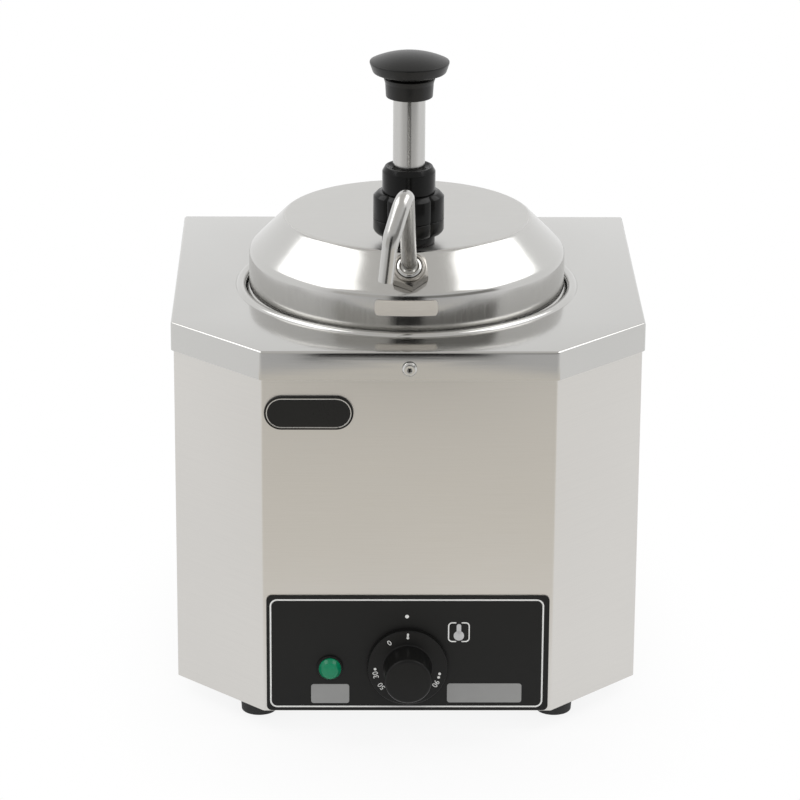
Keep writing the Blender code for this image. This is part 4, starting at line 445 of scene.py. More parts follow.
def tinted(tree, share, first, second):
    """A blend of two colours."""
    return added(tree, "Mix", {"Factor": share, "A": first, "B": second}, data_type="RGBA").outputs["Result"]


def mixed(tree, share, first, second):
    """A blend of two shaders."""
    return added(tree, "MixShader", {"Fac": share, 1: first, 2: second}).outputs["Shader"]


def emptied(holder):
    """Node tree of a material or world with nothing in it."""
    holder.use_nodes = True
    holder.node_tree.nodes.clear()
    return holder.node_tree


def surface(name, colour, roughness, metallic, stretch, grain, relief, spread, shade, patch, specular=0.5):
    """One finish: a stretched fine grain in gloss and relief, and a broad faint change of shade."""
    material = bpy.data.materials.new(name)
    material.use_nodes = True
    tree = material.node_tree
    shader = tree.nodes["Principled BSDF"]
    shader.inputs["Metallic"].default_value = metallic
    shader.inputs["Specular IOR Level"].default_value = specular
    place = added(tree, "TexCoord").outputs["Object"]
    stretched = added(tree, "Mapping", {"Vector": place, "Scale": stretch}).outputs["Vector"]
    fine = added(tree, "TexNoise", {"Vector": stretched, "Scale": grain, "Detail": 3}).outputs["Fac"]
    broad = added(tree, "TexNoise", {"Vector": place, "Scale": patch, "Detail": 2}).outputs["Fac"]
    gloss = ranged(tree, fine, 0.3, 0.7, roughness - spread, roughness + spread, "LINEAR")
    share = ranged(tree, reckoned(tree, "ADD", broad, fine), 0.7, 1.3, easing="LINEAR")
    darker = (*[channel * (1 - shade) for channel in colour], 1)
    lighter = (*[min(channel * (1 + shade), 1) for channel in colour], 1)
    tree.links.new(gloss, shader.inputs["Roughness"])
    tree.links.new(tinted(tree, share, darker, lighter), shader.inputs["Base Color"])
    if relief:
        bump = added(tree, "Bump", {"Height": fine, "Strength": 1.0, "Distance": relief * MM})
        tree.links.new(bump.outputs["Normal"], shader.inputs["Normal"])
    return material


def paint(name, description, default):
    """A colour that a user may change."""
    return FloatVectorProperty(name=name, description=description, default=default, subtype="COLOR", size=3,
                               min=0, max=1)


def span(name, description, millimetres):
    """A length that a user may change."""
    return FloatProperty(name=name, description=description, default=millimetres * MM, unit="LENGTH")


class WarmerColours(bpy.types.PropertyGroup):
    """Colours of the warmer's finishes."""
    steel: paint("Steel", "Stainless steel of the cover, lid and tubes", (0.555, 0.55, 0.535))
    sheet: paint("Sheet steel", "Brushed stainless steel of the upright sheets", (0.64, 0.625, 0.60))
    plated: paint("Plated steel", "Base plate, bracket and small screws", (0.50, 0.51, 0.52))
    plastic: paint("Black plastic", "Knobs, nuts and collar", (0.007, 0.007, 0.0067))
    panel: paint("Panel", "Printed control panel and badge", (0.0095, 0.0095, 0.009))
    print_white: paint("Print", "White print on the panel and dial", (0.75, 0.75, 0.73))
    label: paint("Label", "Bare grey label plates on the panel", (0.27, 0.27, 0.265))
    lens: paint("Lens", "Green pilot lens", (0.003, 0.195, 0.09))
    floor: paint("Floor", "Pale floor under the warmer", (0.86, 0.86, 0.86))


class WarmerSheetSizes(bpy.types.PropertyGroup):
    """Sizes of the folded and drawn sheets."""
    corner_cut: span("Corner cut", "How far each front corner is cut back", 52)
    fold: span("Fold", "Radius of the cover's folds", 1.6)
    sheet: span("Sheet", "Thickness of the cover", 1.2)
    body_fold: span("Body fold", "Radius of the wrapper's folds", 2)
    body_sheet: span("Body sheet", "Thickness of the wrapper", 1)
    recess: span("Recess", "Radius of the drawn recess", 100)
    roll: span("Roll", "Radius of the recess's rolled edge", 5)
    ledge: span("Ledge", "Width of the ledge that carries the pot", 8)


class WarmerLidSizes(bpy.types.PropertyGroup):
    """Sizes of the lid."""
    flat: span("Flat top", "Radius of the lid's flat top", 71.5)
    shoulder: span("Shoulder", "Rounding between the flat and the slope", 5)
    rim: span("Rim", "Rounding between the slope and the wall", 6)
    wall: span("Wall", "Thickness of the lid", 1)


class WarmerPumpSizes(bpy.types.PropertyGroup):
    """Sizes of the pump's head and spout."""
    lobes: IntProperty(name="Lobes", description="Lobes round the grip nut", default=4, min=3)
    lobe_depth: span("Lobe depth", "Depth of the grooves between the lobes", 2.2)
    tube_radius: span("Spout tube", "Outside radius of the spout", 4.2)
    tube_wall: span("Spout wall", "Wall of the spout", 1.2)
    bend: span("Spout bend", "Bend radius of the spout", 9)
    nut_turn: FloatProperty(name="Nut turn", description="Turn of the spout's nut on its thread, in degrees",
                            default=8.0)


SCENE_GROUPS = {"warmer_colours": WarmerColours, "warmer_sheets": WarmerSheetSizes,
                "warmer_lid": WarmerLidSizes, "warmer_pump": WarmerPumpSizes}


class WARMER_OT_finishes(bpy.types.Operator):
    """Make every finish and give the CAD nodes that stay theirs"""
    bl_idname = "warmer.finishes"
    bl_label = "Finishes"

    def execute(self, context):
        colours = context.scene.warmer_colours
        steel, plastic, panel = colours.steel, colours.plastic, colours.panel
        even, upright, level = (1, 1, 1), (1, 1, 0.05), (0.05, 1, 1)
        across, around = (0.02, 1, 1), (0.02, 0.02, 1)
        # Each slot's finishes, the first for its CAD nodes: name, material, colour, roughness, metal, stretch
        # and scale of the grain, relief in mm, spread of the gloss, change of shade and scale of its
        # patches, and a specular level where it isn't the usual one
        rows = {
            "brushed_steel": [
                ("brushed", "brushed steel sheet", colours.sheet, 0.34, 1, around, 1400, 0.006, 0.06, 0.03,
                 6),
                ("brushed_across", "brushed steel top", steel, 0.15, 1, across, 1400, 0.009, 0.04, 0.03, 6),
                ("drawn", "drawn steel pot", steel, 0.24, 1, upright, 900, 0.003, 0.05, 0.03, 12),
            ],
            "polished_steel": [
                ("polished", "polished steel", steel, 0.12, 1, upright, 1200, 0, 0.03, 0.02, 9),
                ("satin_tube", "satin steel tube", steel * 0.95, 0.22, 1, upright, 1200, 0, 0.03, 0.02, 9),
                ("lid", "spun steel lid", steel, 0.17, 1, upright, 1200, 0.001, 0.03, 0.02, 9),
                # the lid's top is rougher satin steel, and its colour is painted lighter than the lid's
                # steel: painted light on the faces that look up
                ("lid_top", "satin lid top", steel * 1.09, 0.38, 1, level, 1300, 0.003, 0.05, 0.02, 6),
                ("nut_steel", "turned steel nut", (0.43, 0.41, 0.38), 0.22, 1, even, 900, 0.002, 0.05,
                 0.08, 40),
            ],
            "plated_steel": [("plated", "plated steel", colours.plated, 0.42, 1, even, 700, 0, 0.08, 0.08,
                              40)],
            "black_plastic": [
                ("plastic", "black moulded plastic", plastic, 0.34, 0, even, 1600, 0.01, 0.05, 0.15, 30,
                 0.2),
                ("palm_plastic", "satin black plastic", plastic, 0.32, 0, even, 1600, 0.008, 0.05, 0.15,
                 30, 0.33),
                ("gloss_plastic", "glossy black plastic", plastic * 0.6, 0.18, 0, even, 1600, 0.004, 0.04,
                 0.15, 30, 0.17),
            ],
            "panel_black": [
                ("panel", "satin black panel", panel, 0.46, 0, even, 2500, 0.004, 0.05, 0.1, 12, 0.2),
                ("badge", "gloss black badge", panel, 0.3, 0, even, 1800, 0.003, 0.05, 0.1, 20, 0.22),
                ("print", "white print", colours.print_white, 0.55, 0, even, 2500, 0, 0.05, 0.03, 60),
                ("label_light", "light grey print", (0.5, 0.5, 0.5), 0.5, 0, even, 2500, 0, 0.05, 0.04, 60),
                ("label", "grey label plate", colours.label, 0.5, 0, even, 2500, 0, 0.05, 0.04, 60),
                ("silver_line", "silver inset line", (0.55, 0.54, 0.52), 0.3, 1, even, 1500, 0, 0.05, 0.04,
                 40),
            ],
            "black_rubber": [("rubber", "black rubber", (0.02, 0.02, 0.02), 0.75, 0, even, 1500, 0.02,
                              0.08, 0.2, 60)],
            "green_lens": [("lens", "green lens", colours.lens, 0.16, 0, even, 900, 0, 0.03, 0.08, 80,
                            0.35)],
            "blank_plate": [("bare_plate", "bare etched plate", (0.62, 0.585, 0.53), 0.5, 0.15, level,
                             1500, 0, 0.06, 0.04, 30)],
            "aluminium": [("aluminium", "cast aluminium", (0.62, 0.62, 0.63), 0.5, 1, even, 700, 0.02, 0.1,
                           0.08, 60)],
            "copper": [("copper", "copper bulb", (0.72, 0.38, 0.22), 0.3, 1, even, 900, 0, 0.08, 0.12, 70)],
            "white_ceramic": [("ceramic", "white ceramic", (0.78, 0.76, 0.70), 0.45, 0, even, 700, 0.01,
                               0.1, 0.04, 60)],
            "insulation": [("wool", "mineral wool", (0.66, 0.60, 0.42), 0.95, 0, (1, 1, 3), 260, 0.8, 0.04,
                            0.18, 60)],
            "white_seal": [("seal", "white seal plastic", (0.78, 0.78, 0.76), 0.45, 0, even, 900, 0.005,
                            0.05, 0.03, 60)],
        }
        for slot, finishes in rows.items():
            for key, *looks in finishes:
                FINISHES[key] = surface(*looks), slot
        for node in frame["nodes"].values():
            slot = node.data.materials[0].name.split(".")[0]
            node.data.materials.clear()
            node.data.materials.append(FINISHES[rows[slot][0][0]][0])
        return {"FINISHED"}


class WARMER_OT_cover(bpy.types.Operator):
    """Top cover: flat plate with a drawn recess, folded skirt and two screw holes"""
    bl_idname = "warmer.cover"
    bl_label = "Top cover"

    def execute(self, context):
        sizes = context.scene.warmer_sheets
        low, high = COVER_LOW, COVER_HIGH
        top, ledge, sharp = high.z, high.z - sizes.roll - 1 * MM, 0.5
        crest, sink, bead = sizes.recess - sizes.roll * 0.6, sizes.roll * 0.24, sizes.roll * 0.64
        outline = [(sizes.recess, top)] + arc((crest, top - sink), bead, range(28, 180, 8))
        outline += [(crest - bead, ledge, 0.7 * MM), (sizes.recess - sizes.roll - sizes.ledge, ledge)]
        piece = turned("formed_top_cover", outline, POT_AXIS, 144, ease=7)
        plan = cut_corners(low, high, sizes.corner_cut)
        edge = drawn("cover_outline", [Vector((x, y, top)) for x, y in plan], closed=True)
        mode("OBJECT")
        only(piece)
        edge.select_set(True)
        bpy.ops.object.join()
        mode("EDIT")

        def at_top(edge):
            """Whether an edge lies in the flat top."""
            return all(abs(vert.co.z - top) < WELD for vert in edge.verts)

        def beyond(edge):
            """Whether an edge lies outside the recess."""
            return all((vert.co - POT_AXIS).xy.length > sizes.recess + MM for vert in edge.verts)
        pick(at_top)
        bpy.ops.mesh.fill(use_beauty=True)
        pick(lambda edge: at_top(edge) and beyond(edge) and len(edge.link_faces) == 1)
        raised((0, 0, low.z - top))
        pick(lambda edge: beyond(edge) and len(edge.link_faces) == 2 and edge.calc_face_angle() > sharp)
        bpy.ops.mesh.bevel(offset=sizes.fold, segments=5, affect="EDGES")
        closed_up(piece)
        outward(piece, UP)
        thicken(piece, sizes.sheet)
        drill_at(piece, ("cover_screw_front", "cover_screw_rear"), COVER_SCREW_HOLE, length=24 * MM, sides=48)
        shaded(piece, 28)
        fit(piece, "brushed_across", "body", "top_cover")
        return {"FINISHED"}


class WARMER_OT_body(bpy.types.Operator):
    """Folded wrapper with its returns, and the rear panel with its vents"""
    bl_idname = "warmer.body"
    bl_label = "Wrapper and rear panel"

    def execute(self, context):
        sizes = context.scene.warmer_sheets
        low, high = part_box("body_wrapper")
        turn_in, inside_cover = 14 * MM, 0.94 * MM
        plan = cut_corners(low, high, sizes.corner_cut - inside_cover)
        corners = [(low.x + turn_in, high.y, low.z)] + [(x, y, low.z, sizes.body_fold) for x, y in plan]
        corners += [(high.x - turn_in, high.y, low.z)]
        piece = drawn("folded_wrapper", rounded(corners, 3, 4))
        raised((0, 0, high.z - low.z))
        closed_up(piece)
        outward(piece, FRONT)
        thicken(piece, sizes.body_sheet)
        drill_at(piece, ("thermostat_shaft",), SHAFT_HOLE, low.y)
        drill_at(piece, ("pilot_lamp_lens",), LAMP_HOLE, low.y)
        drill_at(piece, ("cover_screw_front",), COVER_SCREW_HOLE, low.y)
        drill_at(piece, ("thermostat_screw_left", "thermostat_screw_right"), 1.9 * MM, low.y)
        drill_at(piece, ("rear_panel_screw_left", "rear_panel_screw_right"), SMALL_SCREW_HOLE, high.y)
        shaded(piece, 28)
        fit(piece, "brushed", "body", "body_wrapper")
        self.rear_panel()
        return {"FINISHED"}

    def rear_panel(self):
        """Flat sheet with round-ended vents, the inlet's window and screw holes."""
        low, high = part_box("rear_panel")
        panel = block("vented_rear_panel", low, high, 0.5 * MM, 0.15 * MM)
        spot, half = middle("mains_inlet"), Vector(mm(13.8, 5, 10.3))
        spot.y = high.y
        cut_with(panel, block("inlet_window", spot - half, spot + half, 0.8 * MM))
        below_top, pitch, half = 52 * MM, 8 * MM, Vector(mm(23, 5, 1.5))
        for step in range(-2, 3):
            spot = Vector((0, high.y, COVER_HIGH.z - below_top + step * pitch))
            cut_with(panel, block("vent", spot - half, spot + half, 1.45 * MM))
        small = ("rear_panel_screw_left", "inlet_screw_left", "rear_panel_screw_right", "inlet_screw_right")
        drill_at(panel, ("cover_screw_rear",), COVER_SCREW_HOLE, high.y)
        drill_at(panel, small, SMALL_SCREW_HOLE, high.y)
        shaded(panel, 28)
        fit(panel, "brushed", "body", "rear_panel")


class WARMER_OT_inlet(bpy.types.Operator):
    """Mains socket with its pins in the rear panel"""
    bl_idname = "warmer.inlet"
    bl_label = "Mains inlet"

    def execute(self, context):
        low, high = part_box("mains_inlet")
        centre, face = middle("mains_inlet"), high.y

        def brick(name, shift, half, start, end, corner=0.0, soft=0.0):
            """Block round a place on the inlet's face, between two depths, its sizes in mm."""
            (x, z), (wide, tall) = mm(*shift), mm(*half)
            low = Vector((centre.x + x - wide, start, centre.z + z - tall))
            high = Vector((centre.x + x + wide, end, centre.z + z + tall))
            return block(name, low, high, corner, soft)
        flange = block("mains_socket", Vector((low.x, face - 2 * MM, low.z)), high, 2.4 * MM, 0.4 * MM)
        cut_with(flange, brick("socket_shell", (0, 0), (13.5, 10), low.y, face - 1 * MM, 1 * MM), "UNION")
        hollow = brick("socket_hollow", (0, 0), (11.5, 8), face - 17 * MM, face + 3 * MM)
        only(hollow)
        mode("EDIT")
        pick(lambda edge: all(vert.co.z > centre.z for vert in edge.verts)
             and abs(edge.verts[0].co.x - edge.verts[1].co.x) < WELD)
        bpy.ops.mesh.bevel(offset=4 * MM, segments=1, affect="EDGES")
        closed_up(hollow)
        cut_with(flange, hollow)
        drill_at(flange, ("inlet_screw_left", "inlet_screw_right"), SMALL_SCREW_HOLE, length=20 * MM)
        shaded(flange, 25)
        fit(flange, "plastic", "body", "mains_inlet")
        for name, shift in (("left", (-7, -2)), ("earth", (0, 2)), ("right", (7, -2))):
            pin = brick("mains_pin_" + name, shift, (1, 2), face - 19 * MM, face - 3 * MM, 0.3 * MM, 0.3 * MM)
            fit(pin, "plated", "body")
        return {"FINISHED"}


class WARMER_OT_lid(bpy.types.Operator):
    """Spun lid with a hemmed edge, and the bare plate on its front"""
    bl_idname = "warmer.lid"
    bl_label = "Lid"

    def execute(self, context):
        sizes = context.scene.warmer_lid
        low, high, radius = girth("lid")
        low, top, wall, fall = low.z, high.z, sizes.wall, radius - sizes.flat
        rim, shift, lean = top - fall, wall * math.tan(math.radians(22.5)), wall * math.sqrt(0.5)
        hem, hem_top, union_hole = 2 * MM, low + 4 * MM, 6.7 * MM
        slope = [(sizes.flat + fall * k / 4, top - fall * k / 4) for k in (1, 2, 3)]
        outline = [(0, top), (24 * MM, top), (48 * MM, top), (sizes.flat, top, sizes.shoulder), *slope,
                   (radius, rim, sizes.rim), (radius, low, 0.5 * MM), (radius - hem, low, 0.5 * MM),
                   (radius - hem, hem_top, 0.4 * MM), (radius - wall, hem_top),
                   (radius - wall, rim - shift, sizes.rim - wall),
                   *[(out - lean, up - lean) for out, up in reversed(slope)],
                   (sizes.flat - shift, top - wall, sizes.shoulder - wall), (0, top - wall)]
        piece = turned("spun_lid", outline, POT_AXIS, 144, ease=6)
        drill(piece, PUMP_BORE, PUMP_AXIS + UP * top, UP, 8 * MM)
        drill(piece, union_hole, SPOUT_POINT, SPOUT_AXIS, 8 * MM)
        shaded(piece, 24)
        fit(piece, "lid", "lid_and_pump", "lid")
        # faces of the flat top take the rougher satin finish, whose lighter colour is painted light
        piece.data.materials.append(FINISHES["lid_top"][0])
        for face in piece.data.polygons:
            face.material_index = int(face.center.z > top - 0.4 * MM and face.normal.z > 0.9)
        self.blank_plate(radius)
        return {"FINISHED"}

    def blank_plate(self, radius):
        """Bare plate bent round the lid's wall, with rounded corners."""
        low, high, reach = girth("lid_blank_plate")
        back, face = radius + 0.3 * MM, radius + 0.8 * MM
        half, lean = reach / face, middle("lid_blank_plate").x / face
        start = Vector((math.sin(lean + half), -math.cos(lean + half), 0))
        strip = [(back, low.z), (face, low.z), (face, high.z), (back, high.z)]
        piece = turned("bare_lid_plate", strip, POT_AXIS, 24, True, side=start, turn=2 * half)
        mode("EDIT")
        pick(lambda edge: len(edge.link_faces) < 2)
        bpy.ops.mesh.edge_face_add()

        def corner(edge):
            """Whether a short edge goes through the plate at one of its four corners."""
            first, last = (vert.co - POT_AXIS for vert in edge.verts)
            angle, near = math.atan2(first.x, -first.y), 0.002
            through = abs(first.xy.length - last.xy.length) > (face - back) / 2
            return through and abs(abs(angle - lean) - half) < near
        pick(corner)
        bpy.ops.mesh.bevel(offset=2.8 * MM, segments=6, affect="EDGES")
        closed_up(piece)
        fit(piece, "bare_plate", "lid_and_pump", "lid_blank_plate")


class WARMER_OT_pot(bpy.types.Operator):
    """Drawn inner pot with its flange and rolled bead, and the water well below it"""
    bl_idname = "warmer.pot"
    bl_label = "Pot and well"

    def execute(self, context):
        low, high, radius = girth("inner_pot")
        wall, bead, inner = mm(1, 2.9, 82)
        ring, floor, flange = radius - bead, low.z + wall, high.z - 2 * bead
        outline = [(0, floor), (inner, floor, 10 * MM), (inner, flange + wall, 0.8 * MM),
                   (ring - bead, flange + wall), *arc((ring, flange + bead), bead, range(160, -91, -10)),
                   (inner + wall, flange), (inner + wall, floor - wall, 11 * MM), (0, floor - wall)]
        fit(turned("drawn_inner_pot", outline, POT_AXIS, 144), "drawn", "pot", "inner_pot")
        low, high, flange = girth("water_well")
        wall, inner, floor, stud = mm(0.8, 87.4, 81.3, 3)
        outline = [(0, floor), (inner, floor, 8 * MM), (inner, high.z, 0.4 * MM), (flange, high.z),
                   (flange, high.z - wall), (inner + wall, high.z - wall),
                   (inner + wall, floor - wall, 8.8 * MM), (stud, floor - wall, 1 * MM),
                   (stud, low.z, 0.4 * MM), (0, low.z)]
        fit(turned("pressed_water_well", outline, POT_AXIS, 128), "drawn", "body", "water_well")
        return {"FINISHED"}


class WARMER_OT_pump(bpy.types.Operator):
    """Pump head: palm knob, plunger tube, collar cap, lobed grip nut and base ring"""
    bl_idname = "warmer.pump"
    bl_label = "Pump head"

    def execute(self, context):
        low, high, radius = girth("plunger_knob")
        low, top = low.z, high.z
        hub, neck, rise = mm(13.2, 11.2, 5.1)
        lip, socket, under = low + 11.2 * MM, low + 14 * MM, low + 14.1 * MM
        dome = (radius ** 2 + rise ** 2) / (2 * rise)
        reach = math.degrees(math.asin(radius / dome))
        crown = arc((0, top - dome), dome, [90 - reach * k / 12 for k in range(1, 12)])
        outline = [(0, top), *crown, (radius, top - rise, 0.3 * MM),
                   (radius, top - rise - 0.8 * MM, 0.5 * MM), (radius - 1.9 * MM, under, 1.6 * MM),
                   (neck, under, 0.5 * MM), (neck, lip, 0.5 * MM), (hub + 1.5 * MM, lip, 0.4 * MM),
                   (hub + 0.5 * MM, lip - 3 * MM, 3 * MM), (hub, low, 0.8 * MM), (KNOB_BORE, low),
                   (KNOB_BORE, socket), (0, socket)]
        fit(turned("palm_knob", outline, PUMP_AXIS), "palm_plastic", "plunger", "plunger_knob")
        fit(sleeve("plunger_tube_polished", "plunger_tube", wall=1 * MM),
            "satin_tube", "plunger", "plunger_tube")
        low, high, outer = girth("pump_collar_cap")
        low, top = low.z, high.z
        outline = [(KNOB_BORE, top - 2 * MM, 0.3 * MM), (KNOB_BORE + 2.2 * MM, top - 0.9 * MM, 0.5 * MM),
                   (KNOB_BORE + 2.9 * MM, top, 0.3 * MM), (outer - 1.7 * MM, top, 0.6 * MM),
                   (outer, top - 3 * MM, 1 * MM), (outer, low), (KNOB_BORE, low)]
        fit(turned("collar_cap", outline, PUMP_AXIS, closed=True),
            "gloss_plastic", "lid_and_pump", "pump_collar_cap")
        fit(sleeve("base_ring", "pump_base_ring", PUMP_BORE, eases=(0.4, 0.6), steps=96),
            "gloss_plastic", "lid_and_pump", "pump_base_ring")
        self.grip_nut(context.scene.warmer_pump)
        return {"FINISHED"}

    def grip_nut(self, sizes):
        """Closed lobed outline, lifted and shrunk level by level, then bored."""
        low, high, radius = girth("pump_grip_nut")
        points, start = sizes.lobes * 32, PUMP_AXIS + UP * low.z
        height, seam, inset = (high.z - low.z) / MM, 9.2, 2.6
        outline = []
        for i in range(points):
            angle = FULL_TURN * i / points
            wave = abs(math.cos(sizes.lobes * angle / 2)) ** 0.5
            outline.append(start + spoke(angle) * (radius - sizes.lobe_depth * (1 - wave) - inset * MM))
        piece = drawn("grip_nut", outline, closed=True)
        bpy.ops.mesh.edge_face_add()
        levels = [(0, -inset), (0.4, -1.7), (1.4, -0.7), (2.8, 0), (seam - 0.4, 0), (seam, -0.45),
                  (seam + 0.4, 0), (height - 2.6, 0), (height - 2.3, -0.2), (height - 0.3, -2.2),
                  (height, -2.8)]
        for (before, width_before), (after, width_after) in zip(levels, levels[1:]):
            ratio = (radius + width_after * MM) / (radius + width_before * MM)
            raised((0, 0, (after - before) * MM))
            bpy.ops.transform.resize(value=(ratio, ratio, 1), center_override=PUMP_AXIS)
        closed_up(piece, 40)
        drill(piece, PUMP_BORE, start + UP * height / 2 * MM, UP, height * 2 * MM, 96)
        shaded(piece, 35)
        fit(piece, "gloss_plastic", "grip_nut", "pump_grip_nut")


class WARMER_OT_pump_below(bpy.types.Operator):
    """Pump below the lid: lock nut, cylinder, spring, valve foot, discharge tube and its union"""
    bl_idname = "warmer.pump_below"
    bl_label = "Pump below the lid"

    def execute(self, context):
        sizes = context.scene.warmer_pump
        fit(sleeve("pump_barrel", "pump_cylinder", wall=1.4 * MM, eases=(0.4, 0.4, 0.3, 0.3)),
            "polished", "lid_and_pump", "pump_cylinder")
        nut = sleeve("lock_nut", "pump_lock_nut", PUMP_BORE, eases=(0.9, 0.6))
        outer, notches, notch = girth("pump_lock_nut")[2], 8, 2.2 * MM
        for i in range(notches):
            spot = PUMP_AXIS + spoke(FULL_TURN * i / notches) * (outer + 1.2 * MM)
            drill(nut, notch, spot + UP * middle("pump_lock_nut").z, UP, 12 * MM, 24)
        shaded(nut, 30)
        fit(nut, "gloss_plastic", "lid_and_pump", "pump_lock_nut")
        self.valve_foot()
        outlet, low = middle("outlet_valve_ball"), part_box("discharge_tube")[0].z
        bend = (0, outlet.y, SPOUT_POINT.z - (outlet.y - SPOUT_POINT.y), 10 * MM)
        corners = [(0, outlet.y, low), bend, tuple(SPOUT_POINT - SPOUT_AXIS * 4.6 * MM)]
        fit(tube("bent_discharge_tube", corners, sizes.tube_radius, sizes.tube_wall, 14, 12),
            "polished", "lid_and_pump", "discharge_tube")
        outline = mm((3, -5.6), (8.4, -5.6, 0.4), (8.4, -3.5, 0.3), (6.4, -3.5), (6.4, 7, 0.5), (3, 7))
        fit(turned("discharge_union", outline, SPOUT_POINT, 64, True, SPOUT_AXIS),
            "nut_steel", "lid_and_pump")
        self.return_coil()
        return {"FINISHED"}

    def return_coil(self):
        """Return spring below the piston, which the plunger squashes as it goes down; here it is one fixed
        coil.
        """
        low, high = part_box("return_spring")
        wire, turns, spokes = 0.8 * MM, 7, 20
        start, step = PUMP_AXIS + UP * (low.z + wire), (high.z - low.z - 2 * wire) / (turns * spokes)
        path = [tuple(start + spoke(FULL_TURN * i / spokes) * (high.x - wire) + UP * step * i)
                for i in range(turns * spokes + 1)]
        coil = fit(tube("return_coil", path, wire, sides=3), "polished", "lid_and_pump", "return_spring")
        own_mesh(coil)

    def valve_foot(self):
        """Moulded foot: a round body bridged to the outlet boss, then bored for tubes and valve balls."""
        low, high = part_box("pump_foot")
        boss = UP.cross(RIGHT) * middle("outlet_valve_ball").y
        small, large = boss.y - low.y, high.x
        meet = math.degrees(math.asin(small / large))
        plan = arc(boss.xy, small, [180 + 7.5 * k for k in range(25)])
        plan += arc(PUMP_AXIS.xy, large, [meet - 90 + (180 - meet) * k / 30 for k in range(61)])
        foot = drawn("moulded_valve_foot", [Vector((*spot, low.z)) for spot in plan], True)
        bpy.ops.mesh.edge_face_add()
        raised((0, 0, high.z - low.z))
        closed_up(foot)
        soften(foot, 0.6 * MM, 3)
        seat, above = high.z - 8 * MM, high.z + MM
        bores = [(PUMP_AXIS, 12.3, seat, above), (PUMP_AXIS, 5.4, low.z + 2.4 * MM, high.z),
                 (PUMP_AXIS, 3.0, low.z - MM, high.z), (boss, 4.5, seat, above),
                 (boss, 4.0, low.z + 11 * MM, high.z), (boss, 2.2, low.z + 4 * MM, high.z)]
        for place, radius, start, end in bores:
            drill(foot, radius * MM, place + UP * (start + end) / 2, UP, end - start)
        passage = (PUMP_AXIS + boss) / 2 + UP * (low.z + 6.1 * MM)
        drill(foot, 1.8 * MM, passage, THROUGH, PUMP_AXIS.y - boss.y, 24)
        shaded(foot, 30)
        fit(foot, "seal", "lid_and_pump", "pump_foot")


class WARMER_OT_spout(bpy.types.Operator):
    """Spout tube on its ferrule, and the union nut with its round collar"""
    bl_idname = "warmer.spout"
    bl_label = "Spout and nut"

    def execute(self, context):
        sizes = context.scene.warmer_pump
        foot, riser, aside, slope, tail, knee_bend = mm(7.3, 98, 3, 29.9, 22.6, 14)
        start = SPOUT_POINT + SPOUT_AXIS * foot
        reach = SPOUT_POINT + SPOUT_AXIS * riser - RIGHT * aside
        pitch, yaw, lean = math.radians(55), math.radians(30), math.radians(6.2)
        slant = Vector((-math.sin(yaw) * math.cos(pitch), -math.cos(yaw) * math.cos(pitch), -math.sin(pitch)))
        drop = Vector((-math.sin(lean), 0, -math.cos(lean)))
        knee = reach + slant * slope
        corners = [tuple(start), (*reach, sizes.bend), (*knee, knee_bend), tuple(knee + drop * tail)]
        fit(tube("bent_spout", corners, sizes.tube_radius, sizes.tube_wall, 14, 14, (1.05, 1.16, 1.0)),
            "satin_tube", "spout", "spout_tube")
        outline = mm((3, 0), (7, 0), (7, 1.5, 0.4), (5.6, 2, 1.2), (4.6, 4.6), (3, 4.6))
        fit(turned("spout_ferrule", outline, start, 64, True, SPOUT_AXIS), "polished", "spout")
        outline = mm((7.4, 0.3), (8.9, 0.3), (8.9, 8, 0.6), (8.4, 9.2, 0.5), (7.4, 9.2, 0.4))
        collar = turned("spout_nut_collar", outline, SPOUT_POINT, 80, True, SPOUT_AXIS)
        flats, depth, bore, centre = 20 * MM, 6.6 * MM, 7.4 * MM, SPOUT_POINT + SPOUT_AXIS * 3.6 * MM
        turn = SPOUT_AXIS.to_track_quat("Z", "Y") @ Quaternion((0, 0, 1), math.radians(sizes.nut_turn))
        deselected()
        bpy.ops.mesh.primitive_cylinder_add(vertices=6, radius=flats / math.sqrt(3), depth=depth,
                                            location=centre, rotation=turn.to_euler())
        nut = named("spout_union_nut")
        bpy.ops.object.transform_apply(location=True, rotation=True, scale=True)
        outline = mm((0, -1), (14, -1), (14, 3.9), (9.4, 6.95), (0, 6.95))
        cut_with(nut, turned("nut_chamfer", outline, SPOUT_POINT, 80, axis=SPOUT_AXIS), "INTERSECT")
        drill(nut, bore, centre, SPOUT_AXIS, 20 * MM, 80)
        cut_with(nut, collar, "UNION")
        shaded(nut, 25)
        fit(nut, "nut_steel", "lid_and_pump", "spout_nut")
        return {"FINISHED"}


